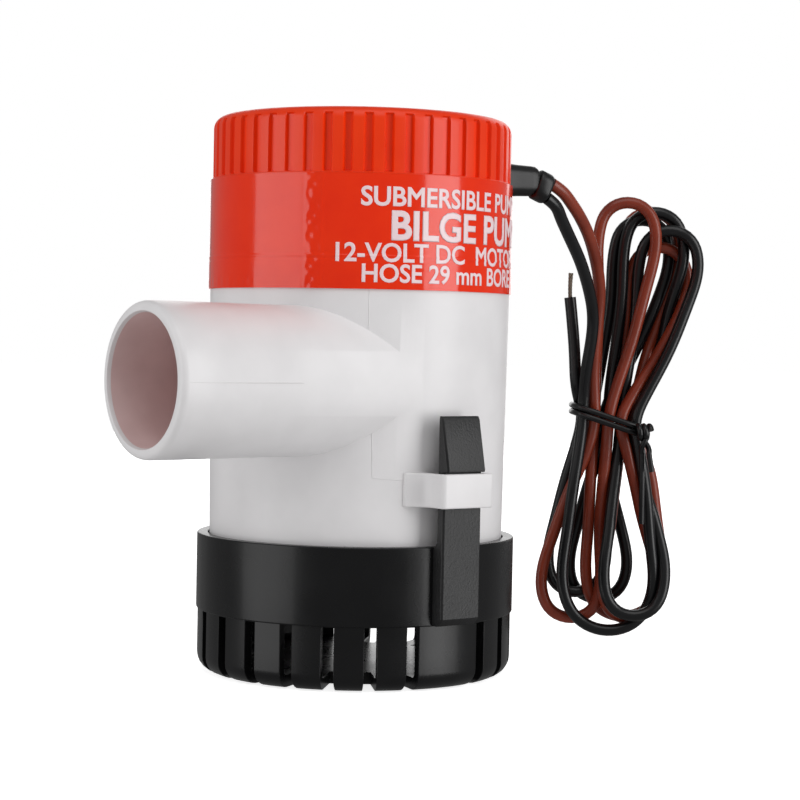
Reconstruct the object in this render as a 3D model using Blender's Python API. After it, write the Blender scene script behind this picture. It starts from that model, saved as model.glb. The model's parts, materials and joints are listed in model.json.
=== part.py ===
"""Submersible 12 V bilge pump: a round cartridge pump on a snap-in strainer, with a hose spigot.

Frame: +Z up, origin at the middle of the strainer's underside. The spigot points to -Y, with its
axis SPIGOT_OFFSET to the +X side, and the two snap arms are at +X and -X.
Every size is in millimetres, and MM turns it into Blender's metres.
"""

import math

import bmesh
import bpy
from mathutils import Matrix, Vector

MM = 0.001
GAP = 0.3             # clearance between pieces that rest on each other
SLIP = 0.05           # clearance of a piece on the shaft, or in its own socket
SIDES = 48            # facets round the outer shells, two for each strainer slot
INNER_SIDES = 24      # facets round the pieces inside
PEG_SIDES = 16        # facets round the shaft and what turns on it

# Strainer
RING_RADIUS = 32.45   # the plain collar that the pump body stands in
RING_TOP = 28.0
RING_FOOT = 12.6      # the collar ends here, and the slots reach up to here
RING_WALL = 2.2
GRILLE_STEP = 0.35    # how far the slotted wall stands behind the collar
BASE_CORNER = 3.5
BASE_FLOOR = 2.4
LEDGE_TOP = 14.4      # the pump body rests on this inner ledge
LEDGE_THICK = 1.5
LEDGE_DEPTH = 2.75
SLOT_COUNT = 24       # equal pitches, with the ones under the two snap arms left out
SLOT_WIDTH = 2.5
SLOT_INNER = 21.0     # the slots run in under the floor to this radius
SCREW_HOLE = 4.4      # diameter of the two holes that screw the strainer to a hull
SCREW_SPREAD = 24.0   # distance between them

# Snap arms
ARM_WIDTH = 9.4
ARM_FACE = RING_RADIUS + 2.55    # distance of an arm's outer face from the pump's axis
ARM_THICK = 2.1
ARM_ROOT_TOP = RING_TOP - 0.3    # the moulded block below the flexing arm
HOOK_FACE = ARM_FACE + 1.2       # the wedge's foot, which catches on the loop
HOOK_TIP_FACE = ARM_FACE - 0.8
HOOK_HEIGHT = 10.7
ROOT_CHAMFER = 1.4

# Loops on the body that the arms pass through
LOOP_WALL = 1.3
LOOP_SIDE_WALL = 1.05
LOOP_SIDE_GAP = 0.45  # clearance of the arm between the loop's sides
LOOP_CORNER = 0.8
LOOP_FACE = ARM_FACE + 0.6 + LOOP_WALL
LOOP_FOOT = RING_TOP + 7.7
LOOP_TOP = LOOP_FOOT + 6.6
LOOP_HALF = ARM_WIDTH / 2 + LOOP_SIDE_GAP + LOOP_SIDE_WALL
LOOP_ROOT_HALF = LOOP_HALF + 3.4
ARM_TOP = LOOP_TOP + GAP + HOOK_HEIGHT

# Pump body
BODY_WALL = 2.9
BODY_CHAMFER = 0.6    # round the body's foot
BODY_TOP_RADIUS = RING_RADIUS - 1.85
BODY_TOP = 83.4
LABEL_FOOT = BODY_TOP - 6.0      # the body tapers up to here
FOOT_SEAT_RADIUS = RING_RADIUS - RING_WALL - GAP - 2.05
FOOT_SEAT_TOP = LEDGE_TOP + 3.1
FLANGE_SEAT_RADIUS = BODY_TOP_RADIUS - 1.7
FLANGE_SEAT = BODY_TOP - 4.6

# Hose spigot, for hose of 29 mm bore
SPIGOT_DIAMETER = 29.4
SPIGOT_WALL = 2.2
SPIGOT_REACH = 60.0   # from the pump's axis to the spigot's mouth
SPIGOT_OFFSET = 15.1
SPIGOT_HEIGHT = 59.5
SPIGOT_LIP = 0.9      # rounding of the mouth
SPIGOT_ROOT = 3.0     # the spigot's barrel starts this far from the pump's axis

# Motor cap
CAP_SKIRT_RADIUS = BODY_TOP_RADIUS - 0.1
CAP_RADIUS = CAP_SKIRT_RADIUS - 0.1
CAP_WALL = 2.4
CAP_ROOF = 2.6
CAP_CORNER = 2.5
RIB_FOOT = BODY_TOP + 16.4
CAP_TOP = RIB_FOOT + 12.6
RIB_COUNT = 48
GROOVE_WIDTH = 1.65
GROOVE_DEPTH = 0.8
GROOVE_TOP_INSET = 1.2
SLEEVE_WALL = 1.8
LABEL_TOP = RIB_FOOT - 0.3
LABEL_THICK = 0.25

# Impeller chamber
PLATE_THICK = 2.3
EYE_RADIUS = 9.0
EYE_LIP = 0.8
IMPELLER_RADIUS = 20.0
IMPELLER_FOOT = LEDGE_TOP + 5.8
IMPELLER_TOP = IMPELLER_FOOT + 11.0
SHROUD_THICK = 2.0
HUB_RADIUS = 5.0      # of the impeller
VANE_COUNT = 5
VANE_THICK = 1.5
VANE_SWEEP = 55.0     # degrees that a vane falls back from hub to rim

# Sealed motor housing
HOUSING_RADIUS = 17.7
HOUSING_WALL = 2.0
HOUSING_FLOOR = 2.5
BOSS_RADIUS = 8.0
BOSS_FOOT = IMPELLER_TOP + 1.4
HOUSING_FOOT = BOSS_FOOT + 3.4
FLANGE_THICK = 3.0
ORING_SECTION = 1.4
ORING_GROOVE = ORING_SECTION + 0.4
SEAL_PASSAGE = 1.1    # clearance round the shaft above the seals
RETAINER_THICK = 0.8

# Motor
SHAFT_RADIUS = 1.5
SHAFT_FOOT = IMPELLER_FOOT - 1.9
CAN_RADIUS = HOUSING_RADIUS - HOUSING_WALL - 0.4
CAN_WALL = 1.0
CAN_FLOOR = 1.2
SOCKET_HEIGHT = 4.4   # of the can's socket for the lower bearing
SOCKET_WALL = 1.3
CAN_TOP = HOUSING_FOOT + 40.5
SHAFT_TOP = CAN_TOP + 3.9
SLEEVE_RADIUS = CAN_RADIUS - 0.3      # inner tube of the cap, which holds the motor down
BEARING_RADIUS = SHAFT_RADIUS + 1.5
SEAL_RADIUS = SHAFT_RADIUS + 3.0
SEAL_THICK = 1.5
MAGNET_THICK = 2.9
MAGNET_SPAN = 128.0   # degrees
MAGNET_FOOT, MAGNET_TOP = HOUSING_FOOT + 8.0, HOUSING_FOOT + 33.0
CORE_RADIUS = CAN_RADIUS - CAN_WALL - GAP - MAGNET_THICK - 0.8
CORE_FOOT, CORE_TOP = HOUSING_FOOT + 10.6, HOUSING_FOOT + 30.6
POLE_COUNT = 3
NECK_WIDTH = 5.0
SHOE_THICK = 1.8
SHOE_SPAN = 98.0      # degrees
COIL_THICK = 2.0
COIL_INNER = 4.2      # distance of a winding from the axis
COMMUTATOR_RADIUS = SHAFT_RADIUS + 2.5
COMMUTATOR_FOOT, COMMUTATOR_TOP = HOUSING_FOOT + 33.4, HOUSING_FOOT + 38.8
END_CAP_THICK = 2.6
BRUSH_WIDTH = 3.0
BRUSH_HEIGHT = 3.0
BRUSH_LENGTH = 3.8
SPRING_THICK = 0.5
TERMINAL_THICK = 0.8
TERMINAL_WIDTH = 3.2
TERMINAL_RISE = 5.0   # height of the terminal blades above the end cap
CAPACITOR_RADIUS = 3.6
CAPACITOR_THICK = 2.6
WASHER_THICK = 0.6
CLIP_THICK = 0.6
BLADE_X = CAN_RADIUS - 4.6       # distance of the two terminal blades from the axis

# Cable
CABLE_TURN = 75.0     # degrees from +X to the side where the cable leaves the cap
CABLE_HEIGHT = RIB_FOOT + 2.1
BOOT_HEIGHT = 6.6     # the boot's section is a stadium that stands upright
BOOT_WIDTH = 4.6
BOOT_REACH = CAP_SKIRT_RADIUS + 5.9
BOOT_INSET = 3.4      # the boot starts this far inside the cap's wall
BOOT_LIP = 1.2        # the inner lip stands this far round the boot
BOOT_LIP_THICK = 1.6
COLLAR_GROWTH = 0.7
COLLAR_LENGTH = 4.6
COLLAR_DROOP = 22.0   # degrees that the collar points down
WIRE = 2.7            # diameter of each insulated lead
INNER_WIRE = 2.2      # diameter of each lead inside the cap
STRANDS = 1.3         # diameter of the bare tinned strands at the free end
WIRE_STEP = 2.2       # a tube has a point each so many diameters
WIRE_RISE = 1.6       # the brown lead leaves the collar this far above its middle, black below
WIRE_LEAD_OUT = 2.2   # length of lead that still points along the collar
BROWN_ROUTE = (
    (10.5, 49.3, 96.7), (8.1, 54.5, 93.1), (4.9, 59.5, 89.3), (0.8, 64.9, 84.3),
    (-1.6, 68.2, 80.9),
)
BLACK_ROUTE = (
    (9.6, 46.0, 94.4), (7.3, 50.9, 90.2), (4.1, 57.5, 84.6), (0.3, 63.4, 78.4),
    (-1.5, 66.4, 74.5),
)
BLACK_END_ROUTE = (
    (-9.5, 68.8, 58.6), (-10.1, 68.7, 64.0), (-10.8, 68.5, 70.4), (-11.5, 67.8, 78.3),
)
TIP_ROUTE = ((-11.5, 67.8, 78.7), (-11.4, 67.8, 83.8))

# Hank: the two leads folded up and down and tied, standing on its lowest bends
HANK_ORIGIN = (-8.9, 77.9)
HANK_TURN = 54.0      # degrees from +X to the hank's broad side
HANK_DEPTH = 9.0
HANK_OUTLINE = (
    (2.0, 0.4), (12.0, 4.0), (14.8, 14.0), (13.0, 27.0), (9.2, 40.0), (8.3, 49.0),
    (10.9, 56.0), (15.0, 68.0), (18.6, 82.0), (17.6, 94.5), (10.0, 100.7), (1.0, 101.0),
    (-3.9, 94.0), (-2.9, 78.0), (-5.2, 66.0), (-7.4, 54.0), (-9.0, 46.0), (-12.2, 33.0),
    (-13.6, 17.0), (-9.6, 5.6),
)
TIE_HEIGHT = 50.2
TIE_WIDTH = 2.2
TIE_THICK = 1.3
TIE_INNER_HALF = 9.6
TIE_SLOPE = 18.0      # degrees
TIE_TAIL = 22.0
KNOT_RADIUS = 2.3
TAIL_RADIUS = 0.75


# Materials -----------------------------------------------------------------------------------

FINISHES = {          # name: (red, green, blue, roughness, metallic)
    "white_abs": (0.86, 0.85, 0.85, 0.35, 0.0),
    "orange_abs": (0.85, 0.13, 0.02, 0.35, 0.0),
    "orange_vinyl": (0.88, 0.10, 0.02, 0.22, 0.0),
    "black_abs": (0.02, 0.02, 0.02, 0.38, 0.0),
    "black_rubber": (0.015, 0.015, 0.015, 0.6, 0.0),
    "brown_pvc": (0.25, 0.05, 0.025, 0.35, 0.0),
    "black_pvc": (0.012, 0.012, 0.012, 0.35, 0.0),
    "grey_nylon": (0.30, 0.31, 0.32, 0.5, 0.0),
    "plated_steel": (0.60, 0.60, 0.58, 0.3, 1.0),
    "stainless_steel": (0.62, 0.62, 0.62, 0.25, 1.0),
    "electrical_steel": (0.35, 0.36, 0.38, 0.45, 1.0),
    "ferrite": (0.05, 0.05, 0.055, 0.7, 0.0),
    "copper": (0.72, 0.30, 0.15, 0.3, 1.0),
    "tinned_copper": (0.55, 0.53, 0.50, 0.4, 1.0),
    "brass": (0.75, 0.55, 0.22, 0.3, 1.0),
    "carbon": (0.03, 0.03, 0.03, 0.6, 0.0),
    "sintered_bronze": (0.45, 0.28, 0.12, 0.5, 1.0),
    "ceramic_blue": (0.10, 0.22, 0.45, 0.4, 0.0),
}


def finish(name):
    """The material of this name, made the first time that it is asked for."""
    found = bpy.data.materials.get(name)
    if found:
        return found
    red, green, blue, roughness, metallic = FINISHES[name]
    made = bpy.data.materials.new(name)
    made.use_nodes = True
    shader = made.node_tree.nodes["Principled BSDF"]
    shader.inputs["Base Color"].default_value = (red, green, blue, 1.0)
    shader.inputs["Roughness"].default_value = roughness
    shader.inputs["Metallic"].default_value = metallic
    made.diffuse_color = (red, green, blue, 1.0)
    return made


# Shapes --------------------------------------------------------------------------------------

def face_out(shape):
    """Turns every face outwards, on a shape that is one closed body."""
    bmesh.ops.recalc_face_normals(shape, faces=shape.faces)
    if shape.calc_volume(signed=True) < 0:
        bmesh.ops.reverse_faces(shape, faces=shape.faces)
    return shape


def moved(shape, place):
    """Moves a shape by a matrix, and turns its faces back out if the matrix mirrors it."""
    shape.transform(place)
    if place.determinant() < 0:
        bmesh.ops.reverse_faces(shape, faces=shape.faces)
    return shape


def piece(name, shape, material_name, place=None):
    """Puts a bmesh into the scene as one named object, moved by the matrix place first."""
    if place is not None:
        moved(shape, place)
    shape.transform(Matrix.Scale(MM, 4))
    mesh = bpy.data.meshes.new(name)
    shape.to_mesh(mesh)
    shape.free()
    mesh.shade_smooth()
    mesh.set_sharp_from_angle(angle=math.radians(35))
    made = bpy.data.objects.new(name, mesh)
    mesh.materials.append(finish(material_name))
    bpy.context.scene.collection.objects.link(made)
    return made


def tool(name, shape, place=None):
    """A shape that only cuts or joins another one, kept out of the model itself."""
    made = piece(name, shape, "grey_nylon", place)
    made.hide_render = True
    made.display_type = "WIRE"
    return made


def combine(target, operation, *tools):
    """Adds one exact Boolean of each tool to the target."""
    for other in tools:
        step = target.modifiers.new(other.name, "BOOLEAN")
        step.operation = operation
        step.solver = "EXACT"
        step.object = other


def arc(centre, radius, start, stop, steps):
    """Points of an arc about centre, from start to stop degrees, both ends included."""
    turns = [math.radians(start + (stop - start) * i / steps) for i in range(steps + 1)]
    return [(centre[0] + radius * math.cos(t), centre[1] + radius * math.sin(t)) for t in turns]


def turned(outline, sides):
    """Spins an outline of (radius, height) points about Z: closed on itself unless it ends on Z."""
    shape = bmesh.new()
    points = [shape.verts.new((radius, 0.0, height)) for radius, height in outline]
    after = points[1:]
    if min(radius for radius, _ in outline) > 0.0:
        after = after + points[:1]
    edges = [shape.edges.new(pair) for pair in zip(points, after)]
    bmesh.ops.spin(
        shape, geom=points + edges, cent=(0, 0, 0), axis=(0, 0, 1),
        angle=math.tau, steps=sides, use_merge=True,
    )
    bmesh.ops.remove_doubles(shape, verts=shape.verts, dist=1e-4)
    return face_out(shape)


def rod(radius, low, high, sides):
    """A plain solid cylinder on Z."""
    return turned([(0.0, low), (radius, low), (radius, high), (0.0, high)], sides)


def tube(inner, outer, low, high, sides):
    """A plain ring or sleeve on Z."""
    return turned([(inner, low), (outer, low), (outer, high), (inner, high)], sides)


def prism(outline, low, high):
    """Raises a flat outline of (x, y) points from low to high."""
    shape = bmesh.new()
    base = shape.faces.new([shape.verts.new((x, y, low)) for x, y in outline])
    raised = bmesh.ops.extrude_face_region(shape, geom=[base])
    top = [v for v in raised["geom"] if isinstance(v, bmesh.types.BMVert)]
    bmesh.ops.translate(shape, verts=top, vec=(0, 0, high - low))
    return face_out(shape)


def block(low, high):
    """A box between two corners."""
    outline = [(low[0], low[1]), (high[0], low[1]), (high[0], high[1]), (low[0], high[1])]
    return prism(outline, low[2], high[2])


def gather(shapes):
    """Several shapes in one bmesh, for a tool that cuts or joins in many places at once."""
    whole = bmesh.new()
    for shape in shapes:
        mesh = bpy.data.meshes.new("gathered")
        shape.to_mesh(mesh)
        shape.free()
        whole.from_mesh(mesh)
        bpy.data.meshes.remove(mesh)
    return whole


def turn_about_z(degrees):
    return Matrix.Rotation(math.radians(degrees), 4, "Z")


def upright(side=1):
    """Takes an (x, z) outline raised along Y: x stays, y becomes z, and side -1 mirrors it to -X."""
    return Matrix.Scale(side, 4, (1, 0, 0)) @ Matrix.Rotation(math.radians(90), 4, "X")


def smooth_path(points, spacing):
    """Points about spacing apart on a smooth curve through the given ones (Catmull-Rom)."""
    ends = [2 * Vector(points[0]) - Vector(points[1]), 2 * Vector(points[-1]) - Vector(points[-2])]
    knots = [ends[0], *map(Vector, points), ends[1]]
    path = [knots[1]]
    for a, b, c, d in zip(knots, knots[1:], knots[2:], knots[3:]):
        count = max(1, round((c - b).length / spacing))
        for i in range(1, count + 1):
            t = i / count
            path.append(0.5 * (
                2 * b + (c - a) * t + (2 * a - 5 * b + 4 * c - d) * t * t
                + (3 * b - 3 * c + d - a) * t * t * t
            ))
    return path


def wire(name, route, diameter, material_name):
    """A round wire along a smooth curve through the route's points."""
    path = smooth_path(route, WIRE_STEP * diameter)
    curve = bpy.data.curves.new(name, "CURVE")
    curve.dimensions = "3D"
    curve.bevel_depth = diameter / 2 * MM
    curve.bevel_resolution = 2
    curve.use_fill_caps = True
    curve.resolution_u = 1
    curve.render_resolution_u = 1
    line = curve.splines.new("POLY")
    line.points.add(len(path) - 1)
    for point, place in zip(line.points, path):
        point.co = (*(place * MM), 1.0)
    made = bpy.data.objects.new(name, curve)
    curve.materials.append(finish(material_name))
    bpy.context.scene.collection.objects.link(made)
    return made


# Strainer and snap arms ----------------------------------------------------------------------

def strainer_base():
    """Slotted cup with a plain collar, an inner ledge for the body and a block under each arm."""
    grille = RING_RADIUS - GRILLE_STEP
    inside = RING_RADIUS - RING_WALL
    chamber = grille - RING_WALL
    corner = arc((grille - BASE_CORNER, BASE_CORNER), BASE_CORNER, -90, 0, 4)
    outline = [
        (0.0, 0.0), *corner, (grille, RING_FOOT), (RING_RADIUS, RING_FOOT),
        (RING_RADIUS, RING_TOP), (inside, RING_TOP), (inside, LEDGE_TOP),
        (inside - LEDGE_DEPTH, LEDGE_TOP), (inside - LEDGE_DEPTH, LEDGE_TOP - LEDGE_THICK),
        (chamber, LEDGE_TOP - LEDGE_THICK), (chamber, BASE_FLOOR), (0.0, BASE_FLOOR),
    ]
    base = piece("strainer_base", turned(outline, SIDES), "black_abs")

    root = [
        (inside + 0.6, RING_FOOT + 0.2), (ARM_FACE - ROOT_CHAMFER, RING_FOOT + 0.2),
        (ARM_FACE, RING_FOOT + 0.2 + ROOT_CHAMFER), (ARM_FACE, ARM_ROOT_TOP),
        (inside + 0.6, ARM_ROOT_TOP),
    ]
    roots = [moved(prism(root, -ARM_WIDTH / 2, ARM_WIDTH / 2), upright(side)) for side in (1, -1)]
    slots = []
    for i in range(SLOT_COUNT):
        if i % (SLOT_COUNT // 2):
            slot = block((SLOT_INNER, -SLOT_WIDTH / 2, -1.0),
                         (RING_RADIUS + 2.0, SLOT_WIDTH / 2, RING_FOOT - 0.05))
            slots.append(moved(slot, turn_about_z(360.0 * i / SLOT_COUNT)))
    holes = [
        moved(rod(SCREW_HOLE / 2, -1.0, BASE_FLOOR + 1.0, PEG_SIDES),
              Matrix.Translation((side * SCREW_SPREAD / 2, 0, 0)))
        for side in (1, -1)
    ]
    combine(base, "UNION", tool("arm_roots", gather(roots)))
    combine(base, "DIFFERENCE", tool("slots", gather(slots)), tool("screw_holes", gather(holes)))


def snap_arm(name, side):
    """The flexing arm above its block: a flat strip with a rounded foot and a wedge-shaped hook."""
    back = ARM_FACE - ARM_THICK
    foot_radius = ARM_THICK / 2
    foot = ARM_ROOT_TOP + GAP
    hook_foot = LOOP_TOP + GAP
    outline = [
        *arc((back + foot_radius, foot + foot_radius), foot_radius, -180, 0, 6),
        (ARM_FACE, hook_foot), (HOOK_FACE, hook_foot), (HOOK_FACE, hook_foot + 0.5),
        (HOOK_TIP_FACE, ARM_TOP - 0.5), (HOOK_TIP_FACE - 0.5, ARM_TOP), (back, ARM_TOP),
    ]
    shape = prism(outline, -ARM_WIDTH / 2, ARM_WIDTH / 2)
    piece(name, shape, "black_abs", upright(side))


# Pump body -----------------------------------------------------------------------------------

def body_foot_radius():
    return RING_RADIUS - RING_WALL - GAP


def body_foot():
    return LEDGE_TOP + GAP


def loop_outline():
    """Plan of the +X loop: a staple, flared at its roots in the wall, with rounded corners."""
    corner = LOOP_CORNER
    root = body_foot_radius() - BODY_WALL * 2 / 3
    hole_half = ARM_WIDTH / 2 + LOOP_SIDE_GAP
    right = [
        (root, hole_half), (root, LOOP_ROOT_HALF), (root + 2.5, LOOP_HALF + 1.6),
        (root + 5.0, LOOP_HALF + 0.3),
        *arc((LOOP_FACE - corner, LOOP_HALF - corner), corner, 90, 0, 3),
    ]
    left = [(x, -y) for x, y in reversed(right)]
    hole = [(LOOP_FACE - LOOP_WALL, -hole_half), (LOOP_FACE - LOOP_WALL, hole_half)]
    return right + left + hole


def pump_body():
    """Shell with the tangential hose spigot and the two loops, open at its top and foot."""
    foot_radius = body_foot_radius()
    foot = body_foot()
    outline = [
        (0.0, foot), (foot_radius - BODY_CHAMFER, foot), (foot_radius, foot + BODY_CHAMFER),
        (foot_radius, RING_TOP), (BODY_TOP_RADIUS, LABEL_FOOT), (BODY_TOP_RADIUS, BODY_TOP),
        (0.0, BODY_TOP),
    ]
    body = piece("pump_body", turned(outline, SIDES), "white_abs")

    outward = Matrix.Translation((SPIGOT_OFFSET, 0, SPIGOT_HEIGHT)) @ Matrix.Rotation(
        math.radians(90), 4, "X")
    radius = SPIGOT_DIAMETER / 2
    lip = arc((radius - SPIGOT_LIP, SPIGOT_REACH - SPIGOT_LIP), SPIGOT_LIP, 0, 90, 3)
    barrel = turned([(0.0, SPIGOT_ROOT), (radius, SPIGOT_ROOT), *lip, (0.0, SPIGOT_REACH)], SIDES)
    bore = rod(SPIGOT_DIAMETER / 2 - SPIGOT_WALL, SPIGOT_ROOT - 1.0, SPIGOT_REACH + 5.0, SIDES // 2)

    cavity = turned([
        (0.0, foot - 2.0), (FOOT_SEAT_RADIUS, foot - 2.0), (FOOT_SEAT_RADIUS, FOOT_SEAT_TOP),
        (foot_radius - BODY_WALL, FOOT_SEAT_TOP), (BODY_TOP_RADIUS - BODY_WALL, FLANGE_SEAT),
        (FLANGE_SEAT_RADIUS, FLANGE_SEAT), (FLANGE_SEAT_RADIUS, BODY_TOP + 2.0),
        (0.0, BODY_TOP + 2.0),
    ], SIDES)

    loops = [
        moved(prism(loop_outline(), LOOP_FOOT, LOOP_TOP), turn_about_z(half_turn))
        for half_turn in (0, 180)
    ]
    combine(body, "UNION", tool("spigot_barrel", barrel, outward), tool("loops", gather(loops)))
    combine(body, "DIFFERENCE", tool("body_cavity", cavity), tool("spigot_bore", bore, outward))


def volute_plate():
    """Floor of the impeller chamber, with a lipped eye that the water is drawn up through."""
    low = body_foot() + 0.2
    high = low + PLATE_THICK
    rim = FOOT_SEAT_RADIUS - GAP
    outline = [
        (EYE_RADIUS, low), (rim, low), (rim, high), (EYE_RADIUS + EYE_LIP, high),
        (EYE_RADIUS + EYE_LIP, high + EYE_LIP), (EYE_RADIUS, high + EYE_LIP),
    ]
    piece("volute_plate", turned(outline, SIDES), "grey_nylon")


# Cap and label -------------------------------------------------------------------------------

def cable_frame(distance, height=CABLE_HEIGHT, droop=0.0):
    """Placement whose Z runs out along the cable and whose Y stands upright."""
    outward = Matrix.Rotation(math.radians(90), 4, "Z") @ Matrix.Rotation(math.radians(90), 4, "X")
    return (turn_about_z(CABLE_TURN) @ Matrix.Translation((distance, 0, height))
            @ Matrix.Rotation(math.radians(droop), 4, "Y") @ outward)


def stadium(width, height):
    """An upright slot shape with round ends, as (x, y) points."""
    rise = (height - width) / 2
    return (arc((0, rise), width / 2, 0, 180, 8) + arc((0, -rise), width / 2, 180, 360, 8))


def motor_cap():
    """Ribbed cup that closes the motor housing, with an inner sleeve and the cable's way out."""
    corner = arc((CAP_RADIUS - CAP_CORNER, CAP_TOP - CAP_CORNER), CAP_CORNER, 90, 0, 4)
    foot = BODY_TOP + GAP
    roof = CAP_TOP - CAP_ROOF
    bore = CAP_SKIRT_RADIUS - CAP_WALL
    sleeve_foot = end_cap_top() + GAP + 0.1
    outline = [
        (0.0, CAP_TOP), *corner, (CAP_RADIUS, RIB_FOOT), (CAP_SKIRT_RADIUS, RIB_FOOT),
        (CAP_SKIRT_RADIUS, foot), (bore, foot), (bore, roof), (SLEEVE_RADIUS, roof),
        (SLEEVE_RADIUS, sleeve_foot), (SLEEVE_RADIUS - SLEEVE_WALL, sleeve_foot),
        (SLEEVE_RADIUS - SLEEVE_WALL, roof), (0.0, roof),
    ]
    cap = piece("motor_cap", turned(outline, SIDES), "orange_abs")

    grooves = []
    for i in range(RIB_COUNT):
        groove = block((CAP_RADIUS - GROOVE_DEPTH, -GROOVE_WIDTH / 2, RIB_FOOT + 0.02),
                       (CAP_RADIUS + 2.0, GROOVE_WIDTH / 2, CAP_TOP - GROOVE_TOP_INSET))
        grooves.append(moved(groove, turn_about_z(360.0 * (i + 0.5) / RIB_COUNT)))
    way = prism(stadium(BOOT_WIDTH + 2 * GAP, BOOT_HEIGHT + 2 * GAP), 0.0, 16.0)
    notch = prism(stadium(7.0, 16.0), 0.0, 7.0)
    combine(cap, "DIFFERENCE", tool("grooves", gather(grooves)),
            tool("cable_way", way, cable_frame(bore - 6.0)),
            tool("sleeve_notch", notch, cable_frame(SLEEVE_RADIUS - 4.0, CABLE_HEIGHT - 4.0)))


def label_band():
    """Printed vinyl wrapped over the joint of cap and body, notched round the cable's boot."""
    inner = max(CAP_SKIRT_RADIUS, BODY_TOP_RADIUS) + 0.1
    label = piece("label_band", tube(inner, inner + LABEL_THICK, LABEL_FOOT, LABEL_TOP, SIDES),
                  "orange_vinyl")
    notch = prism(stadium(BOOT_WIDTH + 4 * GAP, BOOT_HEIGHT + 2 * GAP), 0.0, 8.0)
    combine(label, "DIFFERENCE", tool("label_notch", notch, cable_frame(inner - 4.0)))


# Sealed motor housing ------------------------------------------------------------------------

def housing_floor():
    return HOUSING_FOOT + HOUSING_FLOOR


def motor_housing():
    """Dry can round the motor, hung from a flange that closes the top of the water space."""
    flange_foot = FLANGE_SEAT + GAP
    flange_top = flange_foot + FLANGE_THICK
    rim = FLANGE_SEAT_RADIUS - 0.5
    groove = ORING_GROOVE
    mid = (flange_foot + flange_top) / 2
    bore = HOUSING_RADIUS - HOUSING_WALL
    seal_bore = SEAL_RADIUS + GAP
    seal_top = HOUSING_FOOT + 0.9
    passage = SHAFT_RADIUS + SEAL_PASSAGE
    outline = [
        (passage, housing_floor()), (bore, housing_floor()), (bore, flange_top),
        (rim, flange_top), (rim, mid + groove / 2), (rim - groove, mid + groove / 2),
        (rim - groove, mid - groove / 2), (rim, mid - groove / 2), (rim, flange_foot),
        (HOUSING_RADIUS, flange_foot), (HOUSING_RADIUS, HOUSING_FOOT),
        (BOSS_RADIUS, HOUSING_FOOT), (BOSS_RADIUS, BOSS_FOOT), (seal_bore, BOSS_FOOT),
        (seal_bore, seal_top), (passage, seal_top),
    ]
    piece("motor_housing", turned(outline, SIDES), "grey_nylon")

    ring = arc((rim - ORING_SECTION / 2 - 0.1, mid), ORING_SECTION / 2, 0, 300, 5)
    piece("housing_o_ring", turned(ring, SIDES), "black_rubber")

    seal_foot = seal_top - 0.1
    for name in ("shaft_seal_upper", "shaft_seal_lower"):
        high = seal_foot
        low = high - SEAL_THICK
        seal_foot = low - 0.1
        piece(name, tube(SHAFT_RADIUS + SLIP, SEAL_RADIUS, low, high, PEG_SIDES), "black_rubber")
    piece("seal_retainer",
          tube(SHAFT_RADIUS + 0.6, SEAL_RADIUS, seal_foot - RETAINER_THICK, seal_foot, PEG_SIDES),
          "stainless_steel")


# Motor, standing part ------------------------------------------------------------------------

def can_foot():
    return housing_floor() + GAP + 0.1


def end_cap_top():
    return CAN_TOP + GAP + END_CAP_THICK


def motor_can():
    """Drawn steel can, open at the top, with a socket for the lower bearing."""
    low = can_foot()
    socket = BEARING_RADIUS + SLIP
    bore = CAN_RADIUS - CAN_WALL
    outline = [
        (socket, low), (CAN_RADIUS, low), (CAN_RADIUS, CAN_TOP), (bore, CAN_TOP),
        (bore, low + CAN_FLOOR), (socket + SOCKET_WALL, low + CAN_FLOOR),
        (socket + SOCKET_WALL, low + SOCKET_HEIGHT), (socket, low + SOCKET_HEIGHT),
    ]
    piece("motor_can", turned(outline, INNER_SIDES), "plated_steel")
    piece("lower_bearing",
          tube(SHAFT_RADIUS + SLIP, BEARING_RADIUS, low + 0.2,
               low + SOCKET_HEIGHT - 0.2, INNER_SIDES),
          "sintered_bronze")


def motor_end_cap():
    """Moulded cap on the can, with the upper bearing and slots for the terminal blades."""
    low = CAN_TOP + GAP
    high = end_cap_top()
    socket = BEARING_RADIUS + SLIP
    cap = piece("motor_end_cap", tube(socket, CAN_RADIUS - 0.1, low, high, INNER_SIDES),
                "grey_nylon")
    half_x, half_y = TERMINAL_THICK / 2 + GAP, TERMINAL_WIDTH / 2 + GAP + 0.1
    slots = [
        block((side * BLADE_X - half_x, -half_y, low - 1.0),
              (side * BLADE_X + half_x, half_y, high + 1.0))
        for side in (1, -1)
    ]
    combine(cap, "DIFFERENCE", tool("blade_slots", gather(slots)))
    piece("upper_bearing",
          tube(SHAFT_RADIUS + SLIP, BEARING_RADIUS, low - 0.4, high - 0.2, INNER_SIDES),
          "sintered_bronze")


def magnets():
    """Two ferrite segments inside the can."""
    outer = CAN_RADIUS - CAN_WALL - GAP
    half = MAGNET_SPAN / 2
    for name, middle in (("magnet_right", 0), ("magnet_left", 180)):
        outline = (arc((0, 0), outer, middle - half, middle + half, 12)
                   + arc((0, 0), outer - MAGNET_THICK, middle + half, middle - half, 12))
        piece(name, prism(outline, MAGNET_FOOT, MAGNET_TOP), "ferrite")


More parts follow.
